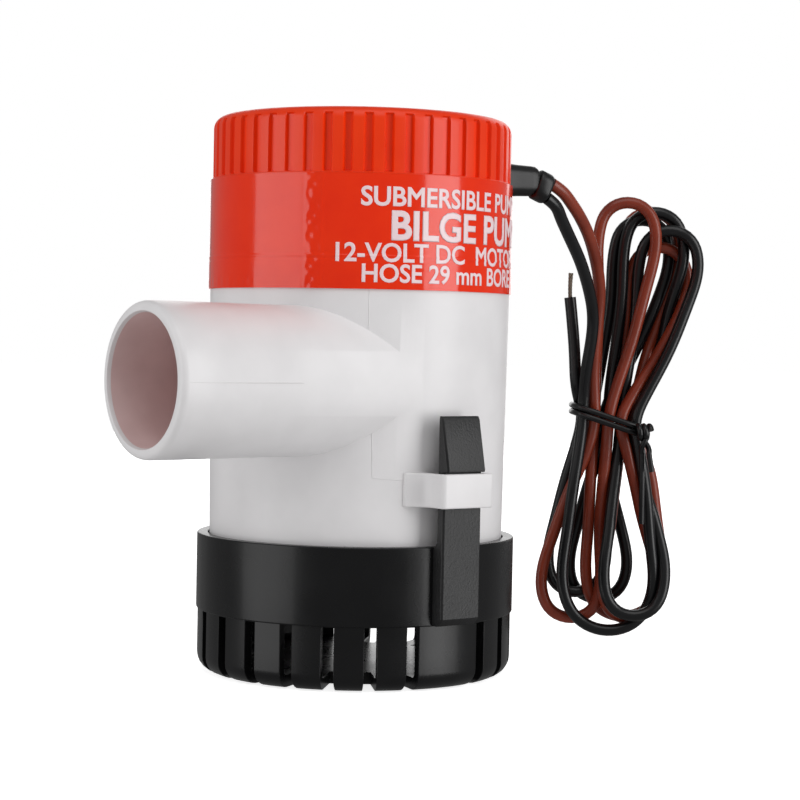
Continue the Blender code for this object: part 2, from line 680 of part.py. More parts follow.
def brushes():
    """A carbon block, its spring strip and its terminal blade on each side of the commutator."""
    half = BRUSH_WIDTH / 2
    inner = COMMUTATOR_RADIUS + GAP
    foot = COMMUTATOR_FOOT + 1.2
    top = foot + BRUSH_HEIGHT
    back = inner + BRUSH_LENGTH
    spring_top = CAN_TOP - 0.1
    outer = BLADE_X + SPRING_THICK / 2
    blade_half = TERMINAL_THICK / 2
    blade_top = end_cap_top() + TERMINAL_RISE
    for label, side in (("right", 1), ("left", -1)):
        carbon = [(inner, foot), (back, foot), (back, top), (inner, top)]
        piece(f"brush_{label}", prism(carbon, -half, half), "carbon", upright(side))
        strip = [
            (back + GAP, foot + 1.2), (outer, foot + 1.2), (outer, spring_top),
            (outer - SPRING_THICK, spring_top), (outer - SPRING_THICK, foot + 1.2 + SPRING_THICK),
            (back + GAP, foot + 1.2 + SPRING_THICK),
        ]
        piece(f"brush_spring_{label}", prism(strip, -half, half), "brass", upright(side))
        blade = [
            (BLADE_X - blade_half, spring_top + GAP), (BLADE_X + blade_half, spring_top + GAP),
            (BLADE_X + blade_half, blade_top), (BLADE_X - blade_half, blade_top),
        ]
        piece(f"terminal_{label}", prism(blade, -TERMINAL_WIDTH / 2, TERMINAL_WIDTH / 2),
              "brass", upright(side))


def noise_capacitor():
    """Disc capacitor across the two terminals, with its legs."""
    foot = end_cap_top() + 3.0
    centre = foot + 5.2
    disc = arc((0, centre), CAPACITOR_RADIUS, 0, 345, 23)
    made = piece("noise_capacitor", prism(disc, -CAPACITOR_THICK / 2, CAPACITOR_THICK / 2),
                 "ceramic_blue", upright())
    reach = BLADE_X - TERMINAL_THICK / 2 - GAP
    legs = []
    for side in (1, -1):
        leg = [
            (1.6, centre), (1.6, foot - 0.4), (reach, foot - 0.4), (reach, foot + 0.3),
            (2.3, foot + 0.3), (2.3, centre),
        ]
        legs.append(moved(prism(leg, -0.35, 0.35), upright(side)))
    combine(made, "UNION", tool("capacitor_legs", gather(legs)))


# Motor, turning part -------------------------------------------------------------------------

def pole_core():
    """Plan of the laminated core: a neck and a shoe for each pole."""
    neck_half = NECK_WIDTH / 2
    shoe_inner = CORE_RADIUS - SHOE_THICK
    neck_turn = math.degrees(math.asin(neck_half / shoe_inner))
    outline = []
    for i in range(POLE_COUNT):
        middle = 360.0 * i / POLE_COUNT
        low, high = middle - SHOE_SPAN / 2, middle + SHOE_SPAN / 2
        outline += arc((0, 0), shoe_inner, middle - neck_turn, low, 4)
        outline += arc((0, 0), CORE_RADIUS, low, high, 10)
        outline += arc((0, 0), shoe_inner, high, middle + neck_turn, 4)
        crotch = math.radians(middle + 180.0 / POLE_COUNT)
        depth = neck_half / math.sin(math.pi / POLE_COUNT)
        outline.append((depth * math.cos(crotch), depth * math.sin(crotch)))
    return outline


def rotor():
    """Shaft with the armature at its middle and the impeller at its foot."""
    bore = SHAFT_RADIUS + SLIP
    piece("motor_shaft", rod(SHAFT_RADIUS, SHAFT_FOOT, SHAFT_TOP, PEG_SIDES), "stainless_steel")
    core = piece("armature_core", prism(pole_core(), CORE_FOOT, CORE_TOP), "electrical_steel")
    combine(core, "DIFFERENCE",
            tool("core_bore", rod(bore, CORE_FOOT - 1.0, CORE_TOP + 1.0, PEG_SIDES)))

    # Each winding is a square ring of wire round one pole's neck.
    room = NECK_WIDTH / 2 + GAP
    outer_half = room + COIL_THICK
    low = COIL_INNER
    high = math.sqrt((CORE_RADIUS - SHOE_THICK) ** 2 - outer_half ** 2) - GAP
    for i in range(POLE_COUNT):
        turn = turn_about_z(360.0 * i / POLE_COUNT)
        ring = block((low, -outer_half, CORE_FOOT - GAP - COIL_THICK),
                     (high, outer_half, CORE_TOP + GAP + COIL_THICK))
        hole = block((low - 1.0, -room, CORE_FOOT - GAP), (high + 1.0, room, CORE_TOP + GAP))
        winding = piece(f"winding_{i + 1}", ring, "copper", turn)
        combine(winding, "DIFFERENCE", tool(f"winding_hole_{i + 1}", hole, turn))

    piece("commutator",
          tube(bore, COMMUTATOR_RADIUS, COMMUTATOR_FOOT, COMMUTATOR_TOP, PEG_SIDES), "copper")
    washer_foot = can_foot() + SOCKET_HEIGHT + GAP
    piece("thrust_washer", tube(bore, SHAFT_RADIUS + 1.7, washer_foot,
               washer_foot + WASHER_THICK, PEG_SIDES),
          "grey_nylon")


def vane_outline(start):
    """Plan of one backward-swept vane: a strip whose angle falls back in step with its radius."""
    inner, outer, steps = HUB_RADIUS - 1.2, IMPELLER_RADIUS - 0.4, 7
    sides = []
    for side in (1, -1):
        line = []
        for i in range(steps + 1):
            radius = inner + (outer - inner) * i / steps
            turn = math.radians(start - VANE_SWEEP * i / steps)
            turn += side * VANE_THICK / 2 / radius
            line.append((radius * math.cos(turn), radius * math.sin(turn)))
        sides.append(line)
    return sides[0] + sides[1][::-1]


def impeller():
    """Hub and top shroud with swept vanes, pressed on the shaft and held by a clip."""
    bore = SHAFT_RADIUS + SLIP
    shroud_foot = IMPELLER_TOP - SHROUD_THICK
    outline = [
        (bore, IMPELLER_FOOT), (HUB_RADIUS, IMPELLER_FOOT), (HUB_RADIUS, shroud_foot),
        (IMPELLER_RADIUS, shroud_foot), (IMPELLER_RADIUS, IMPELLER_TOP), (bore, IMPELLER_TOP),
    ]
    wheel = piece("impeller", turned(outline, PEG_SIDES * 2), "white_abs")
    vanes = [
        prism(vane_outline(360.0 * i / VANE_COUNT), IMPELLER_FOOT + 0.3, shroud_foot + 0.6)
        for i in range(VANE_COUNT)
    ]
    combine(wheel, "UNION", tool("vanes", gather(vanes)))
    piece("impeller_clip",
          tube(bore, SHAFT_RADIUS + 1.8, IMPELLER_FOOT - GAP - CLIP_THICK,
               IMPELLER_FOOT - GAP, PEG_SIDES),
          "stainless_steel")


# Cable and hank ------------------------------------------------------------------------------

def cable_boot():
    """Grommet through the cap's wall, and the collar that ends it."""
    bore = CAP_SKIRT_RADIUS - CAP_WALL
    sleeve = prism(stadium(BOOT_WIDTH, BOOT_HEIGHT), 0.0, BOOT_REACH - bore + BOOT_INSET)
    boot = piece("cable_boot", sleeve, "black_rubber", cable_frame(bore - BOOT_INSET))
    lip = prism(stadium(BOOT_WIDTH + 2 * BOOT_LIP, BOOT_HEIGHT + 2 * BOOT_LIP), 0.0,
                BOOT_LIP_THICK)
    combine(boot, "UNION", tool("boot_lip", lip, cable_frame(bore - BOOT_INSET + 0.4)))
    collar = prism(stadium(BOOT_WIDTH + COLLAR_GROWTH, BOOT_HEIGHT + COLLAR_GROWTH), 0.0,
                   COLLAR_LENGTH)
    piece("cable_collar", collar, "black_rubber", collar_frame())


def collar_frame():
    """Placement of the collar, which droops, so its upper edge would dig into the boot."""
    clear = math.sin(math.radians(COLLAR_DROOP)) * (BOOT_HEIGHT + COLLAR_GROWTH) / 2
    return cable_frame(BOOT_REACH + GAP + clear, droop=COLLAR_DROOP)


def lead_out(rise):
    """The first two points of a lead, straight out of the collar's end face."""
    starts = (COLLAR_LENGTH + GAP, COLLAR_LENGTH + GAP + WIRE_LEAD_OUT)
    return [tuple(collar_frame() @ Vector((0.0, rise, start))) for start in starts]


def inner_leads():
    """The two leads between the terminal blades and the boot, inside the cap."""
    start = end_cap_top() + TERMINAL_RISE + GAP
    bore = CAP_SKIRT_RADIUS - CAP_WALL
    turn = turn_about_z(CABLE_TURN)
    for name, side, rise, material_name in (
            ("inner_lead_brown", 1, WIRE_RISE, "brown_pvc"),
            ("inner_lead_black", -1, -WIRE_RISE, "black_pvc")):
        end = turn @ Vector((bore - BOOT_INSET - GAP, 0.0, CABLE_HEIGHT + rise))
        before = turn @ Vector((bore - 7.0, 0.0, CABLE_HEIGHT + rise))
        notch = turn @ Vector((SLEEVE_RADIUS - 1.0, -side * 1.5, CABLE_HEIGHT - 2.0 + rise))
        route = [(side * BLADE_X, 0.0, start + 0.8), (side * (BLADE_X - 1.0), 1.0, start + 5.0),
                 tuple(notch), tuple(before), tuple(end)]
        wire(name, route, INNER_WIRE, material_name)


def hank_frame():
    """Placement whose X runs across the hank, Y up and Z towards its front."""
    across = turn_about_z(HANK_TURN)
    return Matrix.Translation((*HANK_ORIGIN, 0.0)) @ across @ upright()


def hank():
    """Outer shape of the tied leads, the tie round its waist, and the tie's knot and tails."""
    spaced = smooth_path([(x, y, 0.0) for x, y in (*HANK_OUTLINE, HANK_OUTLINE[0])], 6.0)
    outline = [(point.x, point.y) for point in spaced[:-1]]
    half = HANK_DEPTH / 2
    piece("wire_hank", prism(outline, -half, half), "black_pvc", hank_frame())

    inner = TIE_INNER_HALF
    depth = half + GAP
    outer_x, outer_z = inner + TIE_THICK, depth + TIE_THICK
    loop = piece("hank_tie", block((-outer_x, -outer_z, -TIE_WIDTH / 2),
                                   (outer_x, outer_z, TIE_WIDTH / 2)), "black_pvc", tie_frame())
    hole = block((-inner, -depth, -TIE_WIDTH), (inner, depth, TIE_WIDTH))
    knot = bmesh.new()
    bmesh.ops.create_icosphere(knot, subdivisions=2, radius=KNOT_RADIUS)
    moved(knot, Matrix.Translation((inner + 0.8, -depth - 1.6, 0.0)))
    tails = []
    for side in (1, -1):
        hang = Matrix.Rotation(math.radians(-2.0 * side - TIE_SLOPE), 4, "Y")
        start = Matrix.Translation((inner + 0.8 + 0.95 * side, -depth - 1.6, 0.1))
        tails.append(moved(rod(TAIL_RADIUS, -TIE_TAIL, 0.0, 8), start @ hang))
    combine(loop, "DIFFERENCE", tool("tie_hole", hole, tie_frame()))
    combine(loop, "UNION", tool("tie_knot", knot, tie_frame()),
            tool("tie_tail_1", tails[0], tie_frame()), tool("tie_tail_2", tails[1], tie_frame()))


def tie_frame():
    """Placement of the tie: X across the hank, Y away from its front, tilted to one side."""
    return (Matrix.Translation((*HANK_ORIGIN, TIE_HEIGHT)) @ turn_about_z(HANK_TURN)
            @ Matrix.Rotation(math.radians(TIE_SLOPE), 4, "Y"))


def leads():
    """The free stretches of the two leads, and the bare end that stands up beside the hank."""
    wire("lead_brown", [*lead_out(WIRE_RISE), *BROWN_ROUTE], WIRE, "brown_pvc")
    wire("lead_black", [*lead_out(-WIRE_RISE), *BLACK_ROUTE], WIRE, "black_pvc")
    wire("black_wire_end", BLACK_END_ROUTE, WIRE, "black_pvc")
    wire("black_wire_tip", TIP_ROUTE, STRANDS, "tinned_copper")


def main():
    for old in list(bpy.data.objects):
        bpy.data.objects.remove(old)
    strainer_base()
    snap_arm("snap_arm_right", 1)
    snap_arm("snap_arm_left", -1)
    pump_body()
    volute_plate()
    motor_cap()
    label_band()
    motor_housing()
    motor_can()
    motor_end_cap()
    magnets()
    brushes()
    noise_capacitor()
    rotor()
    impeller()
    cable_boot()
    inner_leads()
    leads()
    hank()


main()
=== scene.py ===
# %% [markdown]
# # A submersible bilge pump
# The pump is a white moulded barrel with a hose spigot, an orange ribbed cap and a black
# slotted strainer. Two leads come out of the cap and are folded into a tied hank.
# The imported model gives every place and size, so this lesson only makes the surfaces.

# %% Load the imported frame
import json
import math

import bmesh
import bpy
import numpy as np
from mathutils import Matrix, Vector


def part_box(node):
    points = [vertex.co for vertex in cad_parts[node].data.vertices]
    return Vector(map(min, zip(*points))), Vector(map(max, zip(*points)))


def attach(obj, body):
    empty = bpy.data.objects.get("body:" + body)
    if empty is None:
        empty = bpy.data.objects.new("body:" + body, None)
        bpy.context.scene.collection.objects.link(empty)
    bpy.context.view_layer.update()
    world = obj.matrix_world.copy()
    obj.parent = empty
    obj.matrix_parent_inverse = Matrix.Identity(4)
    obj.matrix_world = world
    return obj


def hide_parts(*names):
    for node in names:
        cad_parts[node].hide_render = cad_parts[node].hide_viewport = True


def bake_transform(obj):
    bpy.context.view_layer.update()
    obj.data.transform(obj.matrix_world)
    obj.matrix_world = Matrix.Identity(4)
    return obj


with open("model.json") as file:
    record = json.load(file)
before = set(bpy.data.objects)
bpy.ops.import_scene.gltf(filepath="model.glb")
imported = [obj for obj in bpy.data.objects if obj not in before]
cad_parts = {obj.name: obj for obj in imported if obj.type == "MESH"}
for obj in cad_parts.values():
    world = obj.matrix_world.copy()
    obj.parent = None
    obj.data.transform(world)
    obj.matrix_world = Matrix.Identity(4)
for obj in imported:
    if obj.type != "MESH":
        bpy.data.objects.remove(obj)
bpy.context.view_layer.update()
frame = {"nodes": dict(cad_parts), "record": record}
MM = 0.001


def linked(name, data):
    """An object of this name that holds the data, put into the scene."""
    made = bpy.data.objects.new(name, data)
    bpy.context.scene.collection.objects.link(made)
    return made


# %% [markdown]
# ## Camera
# A portrait lens far away keeps the barrel's sides nearly parallel. The camera could be aimed
# by a constraint, but three small turns say its attitude exactly, so its axes are worked out
# from them and put into one matrix.

# %% Camera
CAMERA_DISTANCE = 436.6    # from the pump's axis, in millimetres
CAMERA_HEIGHT = 67.8
CAMERA_SIDE = 54.0         # degrees from +X to the direction that is right in the view
AIM_SIDE, AIM_DOWN, AIM_ROLL = 0.0198, 0.0283, -0.0195    # radians
LENS = 95.6

side = math.radians(CAMERA_SIDE)
view_right = Vector((math.cos(side), math.sin(side), 0.0))
view_away = Vector((-math.sin(side), math.cos(side), 0.0))
view_up = Vector((0.0, 0.0, 1.0))


def camera_axes(aside, down, roll):
    """Right, up and forward of a camera that is turned aside, then down, then rolled."""
    forward = math.sin(aside) * view_right + math.cos(aside) * view_away
    right = math.cos(aside) * view_right - math.sin(aside) * view_away
    dipped = math.cos(down) * forward - math.sin(down) * view_up
    above = math.sin(down) * forward + math.cos(down) * view_up
    return (math.cos(roll) * right - math.sin(roll) * above,
            math.sin(roll) * right + math.cos(roll) * above, dipped)


across, above, ahead = camera_axes(AIM_SIDE, AIM_DOWN, AIM_ROLL)
camera = linked("camera", bpy.data.cameras.new("camera"))
bpy.context.scene.camera = camera
camera.data.lens = LENS
place = Matrix((across, above, -ahead)).transposed().to_4x4()
place.translation = (-CAMERA_DISTANCE * view_away + CAMERA_HEIGHT * view_up) * MM
camera.matrix_world = place
print("camera at", [round(x, 3) for x in place.translation])

# %% [markdown]
# ## Tools for surfaces
# A moulded part could be modelled by hand with loop cuts, but each of these shapes follows a
# rule: a profile turned round an axis, or a section carried along a path. So each one is a
# grid of points worked out with numpy, and one function turns a grid into a mesh.

# %% Grid to mesh
def unit(vectors):
    """Each vector divided by its own length."""
    return vectors / np.linalg.norm(vectors, axis=-1, keepdims=True)


def grid_faces(rows, columns, wrap=True):
    """Quads of a grid whose point number is row * columns + column; wrap closes each row."""
    row = np.arange(rows - 1)[:, None]
    column = np.arange(columns if wrap else columns - 1)[None, :]
    after = (column + 1) % columns
    corners = (row * columns + column, row * columns + after,
               (row + 1) * columns + after, (row + 1) * columns + column)
    return np.stack(corners, axis=-1).reshape(-1, 4)


def make_piece(name, points, faces, crease=35.0, uv=None):
    """A closed mesh from points in millimetres: doubles merged, faces turned outwards."""
    mesh = bpy.data.meshes.new(name)
    mesh.from_pydata((np.asarray(points).reshape(-1, 3) * MM).tolist(), [],
                     [list(face) for face in faces])
    if uv is not None:
        layer = mesh.uv_layers.new(name="along")
        layer.uv.foreach_set("vector", np.asarray(uv, np.float32).ravel())
    shape = bmesh.new()
    shape.from_mesh(mesh)
    bmesh.ops.remove_doubles(shape, verts=shape.verts, dist=1e-6)
    bmesh.ops.dissolve_degenerate(shape, edges=shape.edges, dist=1e-7)
    bmesh.ops.recalc_face_normals(shape, faces=shape.faces)
    if shape.calc_volume(signed=True) < 0:
        bmesh.ops.reverse_faces(shape, faces=shape.faces)
    shape.to_mesh(mesh)
    shape.free()
    mesh.shade_smooth()
    mesh.set_sharp_from_angle(angle=math.radians(crease))
    return linked(name, mesh)


def report(made):
    """Prints the piece's size in millimetres and how many faces it has."""
    print(made.name, [round(x / MM, 1) for x in made.dimensions], len(made.data.polygons), "faces")


def soften(made, width, segments=2, angle=40.0):
    """A Bevel modifier that rounds the sharp edges, with its width in millimetres."""
    step = made.modifiers.new("soft_edges", "BEVEL")
    step.width = width * MM
    step.segments = segments
    step.limit_method = "ANGLE"
    step.angle_limit = math.radians(angle)


# %% Profiles and sections
def eased(corners, steps=4):
    """Line through (x, y, cut) corners, each cut back that far and bridged by a parabola."""
    corners = np.asarray(corners, float)
    share = np.linspace(0.0, 1.0, steps + 1)[:, None]
    line = [corners[:1, :2]]
    for before, corner, after in zip(corners, corners[1:], corners[2:]):
        if corner[2] == 0.0:
            line.append(corner[None, :2])
            continue
        start = corner[:2] + corner[2] * unit(before[:2] - corner[:2])
        stop = corner[:2] + corner[2] * unit(after[:2] - corner[:2])
        line.append((1 - share) ** 2 * start + 2 * share * (1 - share) * corner[:2]
                    + share ** 2 * stop)
    return np.concatenate([*line, corners[-1:, :2]])


def arc(centre, radius, start, stop, steps):
    """Points (x, y) at centre + radius * (cos, sin), from start to stop in degrees."""
    turn = np.radians(np.linspace(start, stop, steps + 1))
    return np.stack([centre[0] + radius * np.cos(turn), centre[1] + radius * np.sin(turn)], -1)


def circle(radius, sides):
    """A round section, closed by whatever is carried along it."""
    return arc((0, 0), radius, 0, 360, sides)[:-1]


def about_z(radius, swing, height):
    """Points about the Z axis: x = r cos a, y = r sin a, z = h."""
    return np.stack(np.broadcast_arrays(radius * np.cos(swing), radius * np.sin(swing), height),
                    -1)


def turned(profile, turns):
    """Grid of a (radius, height) profile carried round Z."""
    return about_z(profile[:, :1], turns, profile[:, 1:])


def full_turn(count):
    """Equally spaced angles of one whole turn, without its end."""
    return np.arange(count) * math.tau / count


def stadium(width, height, steps=12):
    """Upright slot shape with round ends, centred on zero."""
    rise = (height - width) / 2
    return np.concatenate([arc((0, rise), width / 2, 0, 180, steps),
                           arc((0, -rise), width / 2, 180, 360, steps)])


def along(path):
    """How far along a line of points each of them is."""
    return np.concatenate([[0], np.cumsum(np.linalg.norm(np.diff(path, axis=0), axis=1))])


def prism(name, rings, crease):
    """A closed solid through rings of points, with a flat face over its first and its last."""
    rows, sides = rings.shape[:2]
    faces = grid_faces(rows, sides).tolist()
    faces += [list(range(sides))[::-1], list(range((rows - 1) * sides, rows * sides))]
    return make_piece(name, rings, faces, crease)


def swept(name, path, rights, ups, section, scales=None, crease=35.0):
    """Carries a closed (x, y) section along a path: point = path + x * right + y * up."""
    rights, ups = np.broadcast_to(rights, path.shape), np.broadcast_to(ups, path.shape)
    scales = np.ones(len(path)) if scales is None else np.asarray(scales, float)
    outline = scales[:, None, None] * section[None]
    grid = (path[:, None] + outline[..., :1] * rights[:, None] + outline[..., 1:] * ups[:, None])
    rows, columns = grid.shape[:2]
    points = np.concatenate([grid.reshape(-1, 3), path[:1], path[-1:]])
    faces = grid_faces(rows, columns)
    ring = np.arange(columns)
    first, last = rows * columns, rows * columns + 1
    caps = [(first, b, a) for a, b in zip(ring, np.roll(ring, -1))]
    end = ring + (rows - 1) * columns
    caps += [(last, a, b) for a, b in zip(end, np.roll(end, -1))]
    reach = along(path)
    low, high = np.repeat(reach[:-1], columns), np.repeat(reach[1:], columns)
    turn = np.tile(ring / columns, rows - 1)
    after = turn + 1 / columns
    uv = np.stack([np.stack([low, turn], -1), np.stack([low, after], -1),
                   np.stack([high, after], -1), np.stack([high, turn], -1)], 1).reshape(-1, 2)
    uv = np.concatenate([uv, np.zeros((3 * len(caps), 2))])
    return make_piece(name, points, [*faces.tolist(), *caps], crease, uv)


def frames_along(path, facing):
    """Right and up vectors across a path, with up kept as near as it can be to facing."""
    tangent = unit(np.gradient(path, axis=0))
    rights = unit(np.cross(tangent, facing))
    return rights, unit(np.cross(rights, tangent))


def spline(points, spacing):
    """Natural cubic through the points, by chord length, read off about spacing apart."""
    points = np.asarray(points, float)
    knots = along(points)
    gaps, count = np.diff(knots), len(points)
    system, right = np.eye(count), np.zeros((count, 3))
    inner = np.arange(1, count - 1)
    system[inner, inner - 1], system[inner, inner + 1] = gaps[:-1], gaps[1:]
    system[inner, inner] = 2 * (gaps[:-1] + gaps[1:])
    slopes = np.diff(points, axis=0) / gaps[:, None]
    right[inner] = 6 * np.diff(slopes, axis=0)
    bend = np.linalg.solve(system, right)
    at = np.linspace(0, knots[-1], max(3, round(knots[-1] / spacing) + 1))
    cell = np.clip(np.searchsorted(knots, at, side="right") - 1, 0, count - 2)
    h, a = gaps[cell, None], (knots[cell + 1] - at)[:, None]
    b = (at - knots[cell])[:, None]
    return ((bend[cell] * a ** 3 + bend[cell + 1] * b ** 3) / (6 * h)
            + (points[cell] / h - bend[cell] * h / 6) * a
            + (points[cell + 1] / h - bend[cell + 1] * h / 6) * b)


def length_of(path):
    """Length of a line of points."""
    return float(np.linalg.norm(np.diff(path, axis=0), axis=1).sum())


def evenly(path, spacing):
    """The same line with its points about spacing apart."""
    reach = along(path)
    at = np.linspace(0, reach[-1], round(reach[-1] / spacing) + 1)
    return np.stack([np.interp(at, reach, path[:, k]) for k in range(3)], -1)


def wound(line, spread, swing, rightward, onward):
    """Each point spread away from a line, at angle swing from rightward towards onward."""
    return (line + (spread * np.cos(swing))[:, None] * rightward
            + (spread * np.sin(swing))[:, None] * onward)


# %% [markdown]
# ## Leads and hank
# Two stranded leads in PVC leave the collar, drop to the hank and are folded up and down
# through its waist, as a maker packs them. A curve for each fold would leave loose ends, so
# each lead is one line: its free stretch, then every fold in turn, worked out by a loop from
# the fold's two sides and its end. The folds cross, so a short settling pushes them apart.

# %% Lead routes
WIRE = 2.7                 # over the insulation
COLLAR_TURN = 75.0         # degrees from +X to the side where the cable leaves
BOOT_REACH = 36.4
BOOT_LEVEL = 101.9
BOOT_WIDTH, BOOT_HEIGHT = 4.6, 6.6
COLLAR_GROWTH, COLLAR_LENGTH, COLLAR_DROOP = 0.7, 4.6, 22.0
GAP = 0.3
LEAD_RISE = 1.6            # one lead above the collar's middle, one below
LEAD_OUT = 2.2
BROWN_ROUTE = ((10.5, 49.3, 96.7), (8.1, 54.5, 93.1), (4.9, 59.5, 89.3), (0.8, 64.9, 84.3),
               (-1.6, 68.2, 80.9))
BLACK_ROUTE = ((9.6, 46.0, 94.4), (7.3, 50.9, 90.2), (4.1, 57.5, 84.6), (0.3, 63.4, 78.4),
               (-1.5, 66.4, 74.5))
BLACK_END_ROUTE = ((-9.5, 68.8, 58.6), (-10.1, 68.7, 64.0), (-10.8, 68.5, 70.4),
                   (-11.5, 67.8, 78.3))
TIP_ROUTE = ((-11.5, 67.8, 78.7), (-11.4, 67.8, 83.8))
HANK_MIDDLE = np.array((-8.9, 77.9, 0.0))
WAIST = 50.2

hank_right = np.array((math.cos(side), math.sin(side), 0.0))
hank_front = np.array((math.sin(side), -math.cos(side), 0.0))
turn = math.radians(COLLAR_TURN)
outward = np.array((math.cos(turn), math.sin(turn), 0.0))
droop = math.radians(COLLAR_DROOP)
upward = np.array((0.0, 0.0, 1.0))
collar_out = math.cos(droop) * outward - math.sin(droop) * upward
collar_up = math.sin(droop) * outward + math.cos(droop) * upward
collar_start = (BOOT_REACH + GAP + math.sin(droop) * (BOOT_HEIGHT + COLLAR_GROWTH) / 2) * outward
collar_start = collar_start + BOOT_LEVEL * upward
collar_end = collar_start + COLLAR_LENGTH * collar_out


def lead_out(rise):
    """First two points of a lead, straight out of the collar's end."""
    return [collar_end + rise * collar_up + reach * collar_out for reach in (GAP, GAP + LEAD_OUT)]


def in_hank(points):
    """Turns (across, height, towards the front) in the hank into places."""
    points = np.asarray(points, float)
    return (HANK_MIDDLE + points[:, :1] * hank_right + points[:, 2:] * hank_front
            + points[:, 1:2] * upward)


# Share of a fold's length, and how far its side has spread from the waist by then.
SPREADING = ((0.12, 0.1), (0.4, 0.48), (0.72, 0.84))


def fold(start, stop, near, far, end, depth):
    """Out from the waist at start, round an end as wide as near to far, and back to stop."""
    radius = abs(far - near) / 2
    way = math.copysign(1.0, end - WAIST)
    shoulder = end - way * radius
    span = shoulder - WAIST
    middle = (near + far) / 2
    swing = np.radians((0, 45, 90, 135, 180))
    cap = [(middle + (near - middle) * math.cos(s), shoulder + way * radius * math.sin(s), depth)
           for s in swing]
    out, back = ([(at[0] + (edge - at[0]) * share, WAIST + span * way_out,
                   at[1] + (depth - at[1]) * share) for way_out, share in SPREADING]
                 for at, edge in ((start, near), (stop, far)))
    return [*out, *cap, *back[::-1], (stop[0], WAIST, stop[1])]


# Each fold: (across, front) at the waist after it, its two sides, its end, its depth.
BROWN_FOLDS = (
    ((0.0, 2.9), -14.4, -1.2, 4.4, -1.4), ((-2.9, 0.0), 9.4, -3.2, 100.2, 3.4),
    ((5.8, 0.0), -3.6, 13.5, 4.6, -1.6), ((2.9, -2.9), 16.0, 3.2, 98.6, -3.4),
    ((2.9, 2.9), -1.0, 12.2, 4.4, 1.8), ((1.5, -3.0), 17.6, 4.6, 90.4, -0.6),
)
BLACK_FOLDS = (
    ((5.8, 2.9), -9.9, 11.6, 2.0, 2.6), ((2.9, 0.0), 19.4, 6.4, 94.0, 1.6),
    ((5.8, -2.9), -0.6, 12.4, 5.6, 3.6), ((0.0, 0.0), 16.4, 3.2, 98.2, 0.4),
    ((-2.9, -2.9), -7.4, 5.6, 8.4, -3.2), ((0.0, -2.9), 1.0, 14.0, 96.6, -1.4),
    ((-5.8, 0.0), 0.4, -12.8, 9.6, -1.8),
)
BROWN_IN = ((-3.9, 73.0, 9.2), (-4.3, 64.0, 6.2), (-3.9, 56.0, 3.9))
BLACK_IN = ((-5.6, 66.0, 9.6), (-6.2, 58.0, 5.4))


def folded(route, entry, waist, folds):
    """A lead's points: its free route, its way into the hank, then its folds in turn."""
    points = [*entry, (waist[0], WAIST, waist[1])]
    at = waist
    for stop, near, far, end, depth in folds:
        points += fold(at, stop, near, far, end, depth)
        at = stop
    return np.concatenate([np.array(route), in_hank(points)])


brown_points = folded([*lead_out(LEAD_RISE), *BROWN_ROUTE], BROWN_IN, (-2.9, 2.9), BROWN_FOLDS)
black_points = np.concatenate([
    folded([*lead_out(-LEAD_RISE), *BLACK_ROUTE], BLACK_IN, (-5.8, 2.9), BLACK_FOLDS),
    in_hank([(-6.6, 54.5, 2.6)]), np.array(BLACK_END_ROUTE)])
STEP = 1.7                 # between points while the leads are eased and settled
FREE_POINTS = 46           # of each lead, from the collar to the waist
EASING_ROUNDS = 14
HELD_POINTS = 34           # of each lead, which are not pushed apart
LOOSENING, TIGHTENING = 10, 12      # points over which they come free, and are held again
LEAD_PARTS = 0.05          # millimetres aimed at between strands, not always reached


def relaxed(line, count, rounds):
    """Eases a lead's first count points: each moves half way to its neighbours' mean."""
    line = line.copy()
    for _ in range(rounds):
        mean = (line[1:count - 1] + line[3:count + 1]) / 2
        line[2:count] += 0.5 * (mean - line[2:count])
    return line


leads = [relaxed(evenly(spline(points, 0.8), STEP), FREE_POINTS, EASING_ROUNDS)
         for points in (brown_points, black_points)]
print("leads", [round(length_of(line)) for line in leads], "mm")


# %% Settle the leads
def settle(lines, gap, rounds):
    """Moves points nearer than gap apart, mostly in depth, and evens each lead's shifts."""
    sizes = [len(line) for line in lines]
    owner = np.repeat(np.arange(len(lines)), sizes)
    index = np.concatenate([np.arange(size) for size in sizes])
    rest = np.concatenate(lines)
    places = rest.copy()
    loose = np.concatenate([np.clip((np.arange(size) - HELD_POINTS) / LOOSENING, 0, 1)
                            * np.clip((size - 1 - np.arange(size)) / TIGHTENING, 0, 1)
                            for size in sizes])
    same = (owner[:, None] == owner) & (np.abs(index[:, None] - index) * STEP < 3.2 * gap)
    ease = 0.35 * np.eye(3) + 0.65 * np.outer(hank_front, hank_front)
    inner = (index > 0) & (index < np.array(sizes)[owner] - 1)
    for _ in range(rounds):
        apart = places[:, None] - places[None]
        distance = np.linalg.norm(apart, axis=-1) + 1e-9
        lack = np.where(same | (distance >= gap), 0.0, gap - distance)
        push = (apart / distance[..., None] * lack[..., None]).sum(1) @ ease
        size = np.linalg.norm(push, axis=1, keepdims=True) + 1e-9
        places = places + loose[:, None] * push * np.minimum(0.4, 0.5 / size)
        shift = places - rest
        mean = shift.copy()
        mean[1:-1] = (shift[:-2] + shift[2:]) / 2
        places[inner] += 0.5 * (mean - shift)[inner]
        places[:, 2] = np.maximum(places[:, 2], WIRE / 2 + 0.1)
    print("settled, deepest overlap left", round(float(lack.max()), 2), "mm")
    return np.split(places, np.cumsum(sizes)[:-1])


leads = settle(leads, WIRE + LEAD_PARTS, 140)
# Every second point is enough for a smooth line, and the last one is always kept.
leads = [spline(np.concatenate([line[:-2:2], line[-1:]]), 1.2) for line in leads]


